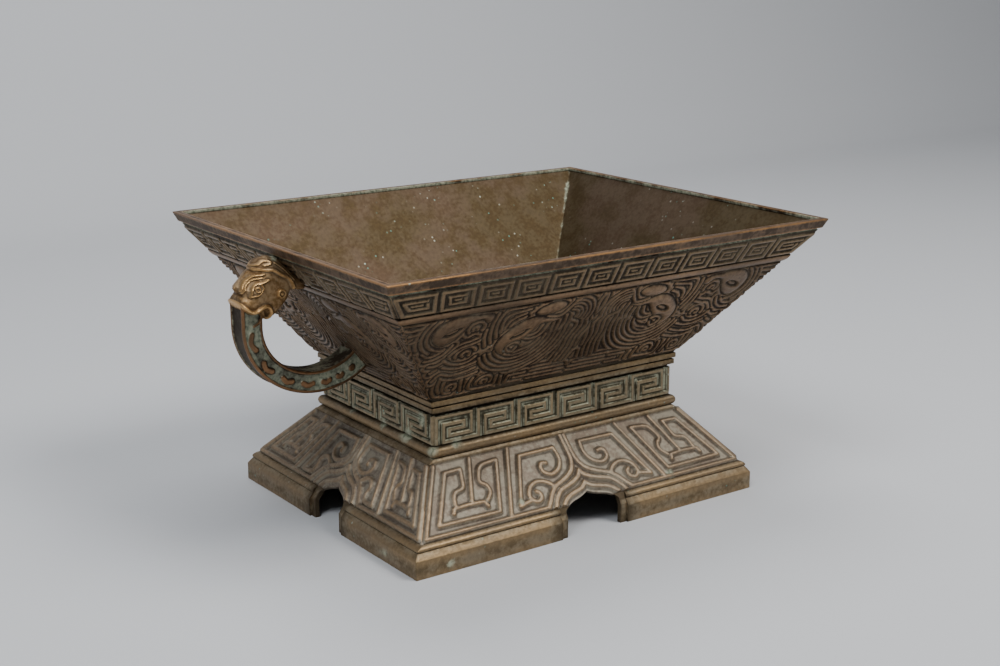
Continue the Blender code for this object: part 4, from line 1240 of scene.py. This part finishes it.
# %% The foot's frames and hooks
# Each upright is its share of the half width at the foot of the side and at its top
LONG_UPRIGHTS = ((0, 0), (0.422, 0.363), (0.493, 0.441), (0.547, 0.533), (0.925, 0.925), (1, 1))
SHORT_UPRIGHTS = ((0, 0), (0.429, 0.413), (0.518, 0.530), (0.578, 0.590), (0.925, 0.925), (1, 1))
LONG_FOOT = Side(FOOT_LOW, FOOT_HIGH, 0)
FRAME = (
    [(48.7, 36.4), (60.7, 6.6), (100.0, 7.0), (83.2, 35.6), (73.0, 35.9)],
    [(48.7, 36.4), (52.6, 36.2)],
    [(64.7, 41.0), (74.5, 16.6)],
    [(88.6, 11.6), (87.0, 14.3), (77.2, 14.8), (67.6, 14.3), (66.2, 11.4)],
    [(38.8, 41.4), (55.6, 1.6)],
)
HOOKS = (
    [
        (73.0, 35.9), (74.3, 31.2), (75.9, 25.8), (78.6, 24.0), (81.8, 23.4), (84.2, 20.6),
        (85.6, 14.8),
    ],
    [
        (52.6, 36.2), (58.8, 35.4), (62.2, 32.6), (64.7, 26.4), (61.6, 23.0), (61.3, 18.9),
        (65.0, 14.6),
    ],
)
print("frame lines and hooks:", len(FRAME) + len(HOOKS))

# %% [markdown]
# The inner frame ends in curls beside the opening, and these differ between the long and the short
# sides. The three mouldings over the opening are alike, but narrower on a short side.


# %% The foot's curls and arches
LONG_CURLS = (
    [
        (9.7, 35.6), (9.0, 31.4), (9.3, 27.2), (12.2, 22.7), (18.0, 20.2), (22.6, 22.3),
        (23.4, 25.6), (21.8, 27.9), (18.8, 27.6),
    ],
    [
        (20.1, 12.3), (22.6, 15.2), (26.3, 17.3), (30.9, 17.9), (35.5, 16.0), (38.2, 12.4),
        (38.4, 9.0), (35.5, 6.5), (32.2, 7.6), (31.2, 10.4), (33.2, 12.4),
    ],
    [(38.4, 8.0), (42.2, 7.4), (46.8, 6.3)],
)
SHORT_CURLS = (
    [
        (6.6, 34.4), (5.2, 29.6), (5.2, 23.2), (8.8, 19.7), (13.8, 18.2), (18.8, 19.7),
        (20.9, 24.0), (18.8, 27.5), (14.8, 26.8), (14.6, 24.2),
    ],
    [
        (38.0, 4.9), (30.2, 5.2), (28.0, 9.2), (28.2, 13.6), (25.6, 16.9), (21.6, 17.2),
        (17.8, 14.2), (16.2, 10.6),
    ],
)
LONG_BAR = [(46.8, 6.3), (33.4, 35.4), (9.7, 35.6)]
SHORT_BAR = [(38.0, 4.9), (26.8, 34.2), (6.6, 34.4)]
ARCHES = (
    [
        (1.3, 42), (1.3, 30), (1.7, 26), (2.7, 23.3), (5.5, 19.2), (12.2, 15.4), (19.3, 12.7),
        (23.8, 9), (27.2, 4.8), (30.1, 1.5),
    ],
    [
        (-0.6, 18.9), (0, 18.3), (3, 14.8), (9.7, 11.9), (17.2, 9.6), (22.2, 5.4), (25.4, 0),
        (26.5, -3),
    ],
    [(-0.6, 11.0), (0, 10.6), (3.8, 7.9), (9.7, 6.3), (15.5, 4.2), (19.6, 0.4), (21.0, -3)],
)
SHORT_ARCHES = (0.90, 0.84, 0.74)
print("curls:", len(LONG_CURLS), "long,", len(SHORT_CURLS), "short; arches:", len(ARCHES))

# %% [markdown]
# All of these lines are raised as ridges of one height. Sculpting would let their heights drift,
# and a list keeps them even. The last line is a rib that runs up beside the corner.


# %% The foot's lines
CORNER_RIB, RIB_INSETS, RIB_ENDS = 0.0019, (0.0024, 0.0022), (0.0016, 0.0012)
TOP_ABOVE, TOP_HALF = 0.0006, 0.0012


def between_uprights(side, drawn):
    """Points in millimetres on a long side, at the same share between this side's uprights."""
    points = np.asarray(drawn, float) / 1000
    share = points[:, 1] / LONG_FOOT.height
    across = points[:, 0] / LONG_FOOT.half(points[:, 1])
    if side.long:
        return side.place(np.stack([across, share], axis=1))
    moved = across.copy()
    stops = [low + (high - low) * share for low, high in LONG_UPRIGHTS]
    goals = [low + (high - low) * share for low, high in SHORT_UPRIGHTS]
    for number in range(len(stops) - 1):
        start, end = stops[number : number + 2]
        new_start, new_end = goals[number : number + 2]
        here = (across >= start) & (across <= end)
        part = (across - start) / (end - start)
        moved = np.where(here, new_start + part * (new_end - new_start), moved)
    return side.place(np.stack([moved, share], axis=1))


def foot_lines(side):
    """The crest lines of one half of a foot panel, as (points, half width)."""
    lines = [(between_uprights(side, one), FOOT_RIDGE) for one in FRAME]
    lines += [(between_uprights(side, flowing(one)), FOOT_RIDGE) for one in HOOKS]
    curls, bar = (LONG_CURLS, LONG_BAR) if side.long else (SHORT_CURLS, SHORT_BAR)
    lines += [(flowing(one) / 1000, FOOT_RIDGE * 1.1) for one in curls]
    lines.append((np.array(bar) / 1000, FOOT_RIDGE))
    widths = (1, 1, 1) if side.long else SHORT_ARCHES
    arches = [flowing(arch) * (width, 1) / 1000 for width, arch in zip(widths, ARCHES)]
    lines += [(arch, FOOT_RIDGE * 1.2) for arch in arches]
    rib = [arches[0][-1]]
    for height, inset in zip((RIB_ENDS[0], side.height - RIB_ENDS[1]), RIB_INSETS):
        rib.append((side.half(height) - inset, height))
    return [*lines, (np.array(rib), CORNER_RIB)]


def carve_foot(side, field, u, v):
    """Every line is a rounded ridge; the two halves are mirrored."""
    for line, half_width in foot_lines(side):
        raise_ridge(field, np.abs(u), v, line, half_width, FOOT_HEIGHT, 0.30, power=3)
    top = side.height + TOP_ABOVE
    raise_ridge(field, u, v, [(-1.0, top), (1.0, top)], TOP_HALF, FOOT_HEIGHT * 0.5, 0.3)


all_round(
    "foot", FOOT_LOW, FOOT_HIGH,
    carve_foot, bronzes["foot"], FOOT_HEIGHT, step=0.00052, edge_of=notch_edge,
)

# %% [markdown]
# ## The openings in the foot
#
# Each side of the foot is open in the middle, under a bracket-shaped arch, and a narrow strip
# round it is sunk. The plain ring of the foot was made whole, and is now cut by exact Booleans.
# Working round the arch point by point would give the same shape, but a cut is shorter to write
# and to read.


# %% Prisms and cuts
def prism(name, outline, low, high, turned):
    """A closed outline in the upright plane, drawn out from low to high along Y, or along X."""
    outline = np.asarray(outline, float)
    count = len(outline)
    depth = np.repeat([low, high], count)
    across, height = np.tile(outline[:, 0], 2), np.tile(outline[:, 1], 2)
    points = np.stack([depth, across, height] if turned else [across, depth, height], axis=1)
    near = np.arange(count)
    after = (near + 1) % count
    quads = np.stack([near, after, after + count, near + count], axis=1)
    quads, caps, _ = facing_out(points, quads, [near[::-1], near + count])
    mesh = bpy.data.meshes.new(name)
    mesh.from_pydata(points.tolist(), [], [one.tolist() for one in (*quads, *caps)])
    return added(name, mesh)


def cut(target, cutters):
    """Cut a piece with exact Booleans, keep the result as its mesh and delete the cutters."""
    for cutter in cutters:
        step = target.modifiers.new(cutter.name, "BOOLEAN")
        step.operation = "DIFFERENCE"
        step.solver = "EXACT"
        step.object = cutter
    graph = bpy.context.evaluated_depsgraph_get()
    result = bpy.data.meshes.new_from_object(target.evaluated_get(graph))
    before = target.data
    target.modifiers.clear()
    target.data = result
    bpy.data.meshes.remove(before)
    for cutter in cutters:
        bpy.data.objects.remove(cutter)


# %% [markdown]
# Each opening is one prism right through the foot, so opposite openings are cut together. The sunk
# strips are four shallow prisms, a little wider than the openings.


# %% Cut the foot's ring
REBATE, REBATE_DEPTH = 0.0045, 0.0015
BEYOND, BAND_OVER, SLIVER = 0.010, 0.001, 0.0001
cutters = []
for axis in (0, 1):
    reach = FOOT[1 - axis] + BEYOND
    arch = arch_line(NOTCH_HALF[axis], NOTCH_SHOULDER, NOTCH_SHOULDER + NOTCH_RISE)
    mirrored = arch[:0:-1] * (-1, 1)
    ends = [(-NOTCH_HALF[axis], -BEYOND), *mirrored, *arch, (NOTCH_HALF[axis], -BEYOND)]
    cutters.append(prism(f"opening_{axis}", ends, -reach, reach, turned=bool(axis)))
    for way in (-1, 1):
        deep = FOOT[1 - axis] - REBATE_DEPTH
        back, top = FOOT_LOW[1 - axis] - 2 * SLIVER, Z_FOOT + SLIVER
        section = [(way * reach, -BEYOND), (way * deep, -BEYOND), (way * deep, Z_BAND + BAND_OVER)]
        section += [(way * back, top), (way * reach, top)]
        half = NOTCH_HALF[axis] + REBATE
        cutters.append(prism(f"strip_{axis}_{way}", section, -half, half, turned=not axis))
cut(foot_wall, cutters)
print("foot wall after its openings:", len(foot_wall.data.vertices), "points")

# %% [markdown]
# ## The handles
#
# Each handle is a band that leaves the beast's mouth, runs round in an arc of an ellipse and meets
# the wall again low down. A curve object could carry a section along it. The line is worked out
# here as an array, because the carving on the band has to know how far along it each point is.


# %% The loop's line
LOOP_HEIGHT, LOOP_REACH, LOOP_DROP, LOOP_TURN, LOOP_RISE = 0.1235, 0.0393, 0.0356, 146, 0.0135
LOOP_OUT = 0.0063
ARC_STEPS, RISE_STEPS = 400, 60
BAND_HALF, BAND_THICK = 0.0074, 0.0118


def wall_out(height):
    """How far the bowl's end wall stands out at a height."""
    return BOWL_LOW[0] + (BOWL_HIGH[0] - BOWL_LOW[0]) * up_bowl(height)


def loop_line(count):
    """Points along the loop's middle, evenly spaced, with the way out at each and its turn."""
    degrees = np.linspace(0, LOOP_TURN, ARC_STEPS)
    turns = np.radians(degrees)
    out = wall_out(LOOP_HEIGHT) + LOOP_OUT + LOOP_REACH * np.cos(turns)
    arc_line = np.stack([out, LOOP_HEIGHT - LOOP_DROP * np.sin(turns)], axis=1)
    rise = np.linspace(LOOP_RISE, 0, RISE_STEPS)[:-1]
    straight = np.stack([0 * rise + arc_line[0, 0], LOOP_HEIGHT + rise], axis=1)
    line = np.concatenate([straight, arc_line])
    degrees = np.concatenate([-np.degrees(rise / LOOP_DROP), degrees])
    gone = np.concatenate([[0], np.cumsum(np.linalg.norm(np.diff(line, axis=0), axis=1))])
    even = np.linspace(0, gone[-1], count)
    line = np.stack([np.interp(even, gone, line[:, i]) for i in (0, 1)], axis=1)
    run = np.gradient(line, axis=0)
    run /= np.linalg.norm(run, axis=1)[:, None]
    return line, np.stack([-run[:, 1], run[:, 0]], axis=1), even, np.interp(even, gone, degrees)


# %% [markdown]
# The flanks of the band and its outer face are sunk inside a narrow border, and curved dashes stand
# in the flanks. Separate dashes laid on a plain band would show their edges, so the band is one
# squared oval whose points are pushed in and out, as the carving on the sides is.


# %% The band with its dashes
BORDER, RECESS, RECESS_SLOPE = 0.0018, 0.0010, 0.0007
DASH_HEIGHT, DASH_HALF, DASH_OUT = 0.0010, 0.0021, 0.0006
BOW, BOW_PER_DEGREE = 0.0003, 0.00009
TONGUE_HALF, EDGE_FADE = 0.0012, 0.0012
TONGUE = ((0.0060, -0.0054), (0.0085, -0.0048), (0.0108, -0.0034), (0.0122, -0.0008))
MOUTH_SWELL, ROOT_SWELL = 0.0006, 0.0026
SQUARENESS = 14
FACE_FROM, FACE_BLUR = 0.93, 0.05
IN_WALL = 0.0015
# Start and end of each dash, in degrees round the loop
DASHES = ((5, 19), (33, 44), (56, 65), (75, 84), (93, 99), (107, 111), (120, 122))


def band(name, way, finish):
    """A squared oval carried along the loop: where the powers of cosine and sine add up to one."""
    along, around = ((264, 136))
    line, outward_way, gone, degrees = loop_line(along)
    share = np.linspace(0, 1, along)[:, None]
    half = (BAND_THICK + MOUTH_SWELL * (1 - share) ** 3 + ROOT_SWELL * share**3) / 2
    turn = np.linspace(0, 2 * math.pi, around, endpoint=False)[None, :]
    cosine, sine = np.cos(turn), np.sin(turn)
    scale = np.abs(cosine) ** SQUARENESS + np.abs(sine) ** SQUARENESS
    scale = scale ** (-1 / SQUARENESS)
    out, across = half * scale * cosine, BAND_HALF * scale * sine
    flank, face, inner = (
        smooth((one - FACE_FROM) / FACE_BLUR)
        for one in (np.abs(across) / BAND_HALF, out / half, -out / half)
    )
    sunk = flank * smooth((half - np.abs(out) - BORDER) / RECESS_SLOPE + 0.5)
    sunk_face = face * smooth((BAND_HALF - np.abs(across) - BORDER) / RECESS_SLOPE + 0.5)
    raised = np.zeros(out.shape)
    spot = np.broadcast_to(gone[:, None], out.shape)
    for start, end in DASHES:
        ends = np.interp([start, (start + end) / 2, end], degrees, gone)
        bowed = DASH_OUT + BOW + BOW_PER_DEGREE * (end - start)
        dash = flowing([(ends[0], DASH_OUT), (ends[1], bowed), (ends[2], DASH_OUT)])
        raise_ridge(raised, spot, out, dash, DASH_HALF, DASH_HEIGHT, 0.50)
    raise_ridge(raised, spot, out, flowing(TONGUE), TONGUE_HALF, DASH_HEIGHT, 0.3)
    raised *= flank
    # Low crest values in the sunk flanks and face, and on the inner face, darken them with painted
    # shade
    crest = np.maximum(1 - np.maximum(sunk, 0.9 * sunk_face), raised / DASH_HEIGHT)
    plain = inner * smooth((BAND_HALF - np.abs(across)) / EDGE_FADE)
    crest = crest * (1 - 0.6 * plain)
    # Verdigris lies in the sunk flanks, on the inner face low down and where the band ends
    damp = sunk * (1 - raised / DASH_HEIGHT) * 0.85 + plain * smooth(share * 2.4 - 1.3) * 0.6
    damp = np.clip(damp + 0.45 * smooth((share - 0.90) / 0.08), 0, 1)
    across = across - np.sign(across) * (RECESS * sunk - raised)
    out = out - RECESS * sunk_face
    x = line[:, :1] + outward_way[:, :1] * out
    z = line[:, 1:] + outward_way[:, 1:] * out
    x = np.maximum(x, wall_out(z) - IN_WALL)
    points = np.stack([way * x, across, z], axis=-1).reshape(-1, 3)
    quads = sheet_of_quads(along, around, False, True)
    caps = end_caps(along, around)
    return piece(name, points, quads, caps, finish, crest.ravel(), damp.ravel())


# %% [markdown]
# The head is a pillow: its outline, seen from the side, is drawn round a middle point, and the
# half width swells from that outline to the cheek. It could be sculpted, but both heads have two
# equal cheeks, and one height over the outline gives all four. Eye, brow, ear, hood and lip are low
# ridges on it, each with a shallow moat beside it, which is what makes a chased line look crisp.


# %% The head's lines
HEAD_OUTLINE = (
    (0.15, 0.25), (0.30, 0.300), (0.40, 0.318), (0.54, 0.285), (0.62, 0.238), (0.678, 0.172),
    (0.668, 0.124), (0.716, 0.112), (0.786, 0.040), (0.871, -0.040), (0.938, -0.105),
    (0.957, -0.145), (0.925, -0.195), (0.900, -0.245), (0.930, -0.282), (0.942, -0.312),
    (0.946, -0.368), (0.905, -0.460), (0.800, -0.555), (0.670, -0.545), (0.600, -0.610),
    (0.540, -0.650), (0.450, -0.625), (0.355, -0.565), (0.157, -0.366), (0.07, -0.22),
    (-0.21, -0.22), (-0.05, 0.02),
)
CROWN_AND_NOSE = np.array(
    [
        (0.0, 0.15), (0.30, 0.300), (0.40, 0.318), (0.54, 0.285), (0.62, 0.235), (0.672, 0.155),
        (0.716, 0.115), (0.786, 0.036), (0.871, -0.044), (0.938, -0.110), (0.935, -0.20),
    ]
)
HOOD_EDGE = (
    (0.700, 0.150), (0.640, 0.152), (0.579, 0.151), (0.504, 0.142), (0.392, 0.132),
    (0.272, 0.051), (0.145, -0.025), (0.074, -0.185),
)
UPPER_LID = (
    (0.505, 0.002), (0.586, -0.037), (0.675, -0.049), (0.733, -0.089), (0.772, -0.162),
    (0.800, -0.252),
)
LOWER_LID = (
    (0.800, -0.252), (0.753, -0.235), (0.686, -0.223), (0.620, -0.171), (0.596, -0.115),
    (0.618, -0.066), (0.655, -0.050),
)
EYE_MIDDLE, EAR = (0.686, -0.137), (0.298, -0.241)
LIP = (
    (0.985, -0.325), (0.905, -0.410), (0.810, -0.485), (0.730, -0.490), (0.660, -0.450),
    (0.575, -0.416), (0.503, -0.445), (0.478, -0.520), (0.515, -0.585), (0.560, -0.630),
)


def head_lines():
    """Ridges on the cheek, as (points, half width, height) in shares of the head's size."""
    brow = [
        (0.549, 0.084), (0.605, 0.070), (0.685, 0.056), (0.761, 0.010), (0.821, -0.037),
        (0.869, -0.102), (0.893, -0.165),
    ]
    under_brow = [
        (0.585, 0.036), (0.653, 0.020), (0.722, 0.000), (0.789, -0.047), (0.834, -0.097),
        (0.856, -0.152), (0.880, -0.205),
    ]
    curl = [
        (0.690, 0.192), (0.584, 0.222), (0.513, 0.262), (0.430, 0.265), (0.385, 0.245),
        (0.440, 0.222), (0.520, 0.212),
    ]
    return [
        (flowing(HOOD_EDGE), 0.036, 0.030),
        (flowing(curl), 0.022, 0.026),
        (flowing([(0.33, 0.235), (0.24, 0.165), (0.15, 0.060), (0.07, -0.05)]), 0.022, 0.024),
        (flowing(brow), 0.021, 0.034),
        (flowing(under_brow), 0.019, 0.030),
        (flowing(UPPER_LID), 0.022, 0.036),
        (flowing(LOWER_LID), 0.021, 0.032),
        (arc(EYE_MIDDLE, 0.036, 0, 360), 0.015, 0.030),
        (flowing(LIP), 0.046, 0.052),
    ]


print("lines on a cheek:", len(head_lines()))

# %% [markdown]
# The hood lies over the crown like a cap and the eyeball swells inside its lids. Each has a field
# of its own, so that the crest value can tell a worn ridge from a broad swelling that is only
# high.


# %% The beast's head
HEAD_HEIGHT, HEAD_SIZE, HEAD_HALF = 0.1500, 0.0340, 0.0113
HEAD_MIDDLE = np.array([0.45, -0.16])
HOOD_RISE, EYE_RISE, EAR_RISE, EAR_SIZE = 0.034, 0.016, 0.065, 0.165
MOAT_DEPTH, PIT_DEPTH = 0.014, 0.022
KEEL_WIDTH, KEEL_SHARE = 0.28, 0.12
PITS = (
    ([(0.900, -0.215), (0.880, -0.240)], 0.028), ([(0.575, -0.500), (0.550, -0.560)], 0.034),
    (arc(EAR, 0.036, 0, 360), 0.013),
)


def head(name, way, finish):
    """Rings round a middle point, out to the outline on one cheek and back on the other."""
    outline = flowing(HEAD_OUTLINE, closed=True, steps=9)
    # The rings crowd towards the outline, where the pillow turns from one cheek to the other
    shares = np.concatenate([np.linspace(0.02, 0.90, 52), 1 - 0.10 * np.linspace(0.95, 0, 18) ** 2])
    shares = shares
    flat = HEAD_MIDDLE + shares[:, None, None] * (outline - HEAD_MIDDLE)
    a, b = flat[..., 0], flat[..., 1]
    from_keel = np.clip(distance_to_line(a, b, CROWN_AND_NOSE) / KEEL_WIDTH, 0, 1)
    round_share = 1 - (1 - from_keel) ** 2
    width = HEAD_HALF / HEAD_SIZE * (KEEL_SHARE + (1 - KEEL_SHARE) * round_share)
    width = width * (1 - np.minimum(shares[:, None], 1) ** 16) ** (1 / 2.4)
    hood, swollen, raised, moat, pit = np.zeros((5, *a.shape))
    cap = [*HOOD_EDGE, (-0.3, -0.2), (-0.2, 0.5), (0.75, 0.5)]
    raise_swelling(hood, a, b, cap, HOOD_RISE, 0.02)
    raise_swelling(swollen, a, b, [*UPPER_LID[1:], *LOWER_LID[1:-1]], EYE_RISE, 0.04)
    raise_swelling(swollen, a, b, ellipse(EAR, EAR_SIZE, EAR_SIZE, 0), EAR_RISE, 0.022)
    for line, half_width, height in head_lines():
        raise_ridge(raised, a, b, line, half_width, height, 0.15)
        raise_ridge(moat, a, b, line, half_width * 2.2, 1.0, 0.0)
    on_ridge = np.clip(raised / 0.024, 0, 1)
    moat = moat * (1 - on_ridge)
    for hollow, half_width in PITS:
        raise_ridge(pit, a, b, hollow, half_width, 1.0, 0.2)
    fade = smooth((1 - shares[:, None]) / 0.03)
    lift = (hood + swollen + raised - MOAT_DEPTH * moat - PIT_DEPTH * pit) * fade
    # Moats and pits get low crest values, painted shade in the finish; ridges get high ones, rubbed
    # metal that also carries a painted highlight
    crest = 0.58 + 0.22 * (swollen > 0.03) + 0.42 * on_ridge - 0.56 * moat - 0.5 * pit
    crest -= 0.2 * (hood > 0.01)
    damp = 0.9 * smooth((b - 0.19) / 0.10) * smooth((0.42 - a) / 0.16)
    width = np.maximum(width + lift, 0)
    x = wall_out(HEAD_HEIGHT) + HEAD_SIZE * a
    z = HEAD_HEIGHT + HEAD_SIZE * b
    x = np.maximum(x, wall_out(z) - IN_WALL)
    near = np.stack([way * x, -HEAD_SIZE * width, z], axis=-1)
    far = np.stack([way * x, HEAD_SIZE * width, z], axis=-1)[-2::-1]
    grid = np.concatenate([near, far])
    crest, damp = (np.concatenate([one, one[-2::-1]]).ravel() for one in (crest, damp))
    rows, columns = grid.shape[:2]
    quads = sheet_of_quads(rows, columns, False, True)
    caps = end_caps(rows, columns)
    return piece(name, grid.reshape(-1, 3), quads, caps, finish, crest, damp)


# %% [markdown]
# The two handles match, so the right one is the left one mirrored. Its x values are simply negated
# before the mesh is made, because a mirrored object would have faces that look inwards.

# %% Make both handles
for name, way in (("handle_left", -1), ("handle_right", 1)):
    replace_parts(band(f"{name}_loop", way, bronzes["band"]), name)
    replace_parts(head(f"{name}_head", way, bronzes["head"]), name)

# %% [markdown]
# The pieces made here stand for the solids of the CAD model. The vessel's pieces are told by the
# first word of their names, so none can be forgotten.

# %% Say what stands for the vessel
VESSEL_PIECES = ("foot_", "waist_", "bowl_", "rim_", "scrolls_")
for made in bpy.context.scene.objects:
    if made.name.startswith(VESSEL_PIECES):
        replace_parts(made, "vessel")

# %% [markdown]
# ## Floor
#
# The vessel stands on a plain pale floor that curves up behind it, like the paper roll of a photo
# studio. A flat plane would end in a hard horizon. One bent sheet hides it.


# %% Floor
BEND_FROM, BEND_LENGTH, BACKDROP = 0.9, 0.9, 1.44
FLOOR_FRONT, FLOOR_BACK, FLOOR_SIDE = -2.2, 1.6, 3


def studio_floor():
    """A flat floor that bends up smoothly into a backdrop, as one sheet over depth and width."""
    depth = np.linspace(FLOOR_FRONT, FLOOR_BACK, 60)
    rise = BACKDROP * smooth((depth - BEND_FROM) / BEND_LENGTH)
    across = np.linspace(-FLOOR_SIDE, FLOOR_SIDE, 20)
    x, y = np.meshgrid(across, depth)
    points = np.stack([x, y, np.broadcast_to(rise[:, None], x.shape)], axis=-1).reshape(-1, 3)
    mesh = bpy.data.meshes.new("studio_floor")
    mesh.from_pydata(points.tolist(), [], sheet_of_quads(len(depth), len(across)).tolist())
    mesh.polygons.foreach_set("use_smooth", np.ones(len(mesh.polygons), bool))
    pale = bpy.data.materials.new("pale_floor")
    pale.use_nodes = True
    shader = pale.node_tree.nodes["Principled BSDF"]
    shader.inputs["Base Color"].default_value = (0.55, 0.56, 0.58, 1)
    shader.inputs["Roughness"].default_value = 0.8
    mesh.materials.append(pale)
    return added("studio_floor", mesh)


studio_floor()

# %% [markdown]
# ## Lights
#
# Three large square lamps and a faint bluish sky keep the shadows open and show the metal's polish
# as broad soft gleams. Small lamps or the sun would draw a sharp spark on every ridge.


# %% Lights
WAIST_HEIGHT = Vector((0, 0, 0.08))


def area_light(name, place, size, power, tint=(1.0, 1.0, 1.0)):
    """A square soft light at a place, aimed at the middle of the vessel."""
    data = bpy.data.lights.new(name, "AREA")
    data.size = size
    data.energy = power
    data.color = tint
    lamp = added(name, data)
    lamp.location = place
    aim = WAIST_HEIGHT - Vector(place)
    lamp.rotation_euler = aim.to_track_quat("-Z", "Y").to_euler()


area_light("key", (0.6, -1.0, 1.5), size=0.8, power=27, tint=(1.0, 0.98, 0.95))
area_light("side", (-1.0, -0.5, 1.6), size=0.8, power=20, tint=(0.94, 0.97, 1.0))
area_light("top", (0.1, 0.5, 1.7), size=0.9, power=12)
world = bpy.data.worlds.new("studio")
world.use_nodes = True
sky = world.node_tree.nodes["Background"]
sky.inputs["Color"].default_value = (0.80, 0.84, 0.90, 1)
sky.inputs["Strength"].default_value = 0.20
bpy.context.scene.world = world

# %% [markdown]
# ## Camera
#
# The camera looks from where the photograph was taken: before the left half of the vessel and about
# fifteen degrees above it. Its place and its focal length were found from the corners of the rim
# and the foot in the photograph.

# %% Camera
CAMERA_PLACE = (-0.52288, -0.73347, 0.33252)
FOCAL_LENGTH = 56.13
yaw, pitch = math.radians(35.609), math.radians(14.782)
look = Vector((math.sin(yaw) * math.cos(pitch), math.cos(yaw) * math.cos(pitch), -math.sin(pitch)))
lens = bpy.data.cameras.new("camera")
lens.lens = FOCAL_LENGTH
lens.sensor_width = 36
camera = added("camera", lens)
camera.location = CAMERA_PLACE
camera.rotation_euler = look.to_track_quat("-Z", "Y").to_euler()
bpy.context.scene.camera = camera
print("camera", round(camera.location.length, 3), "m from the middle of the foot")
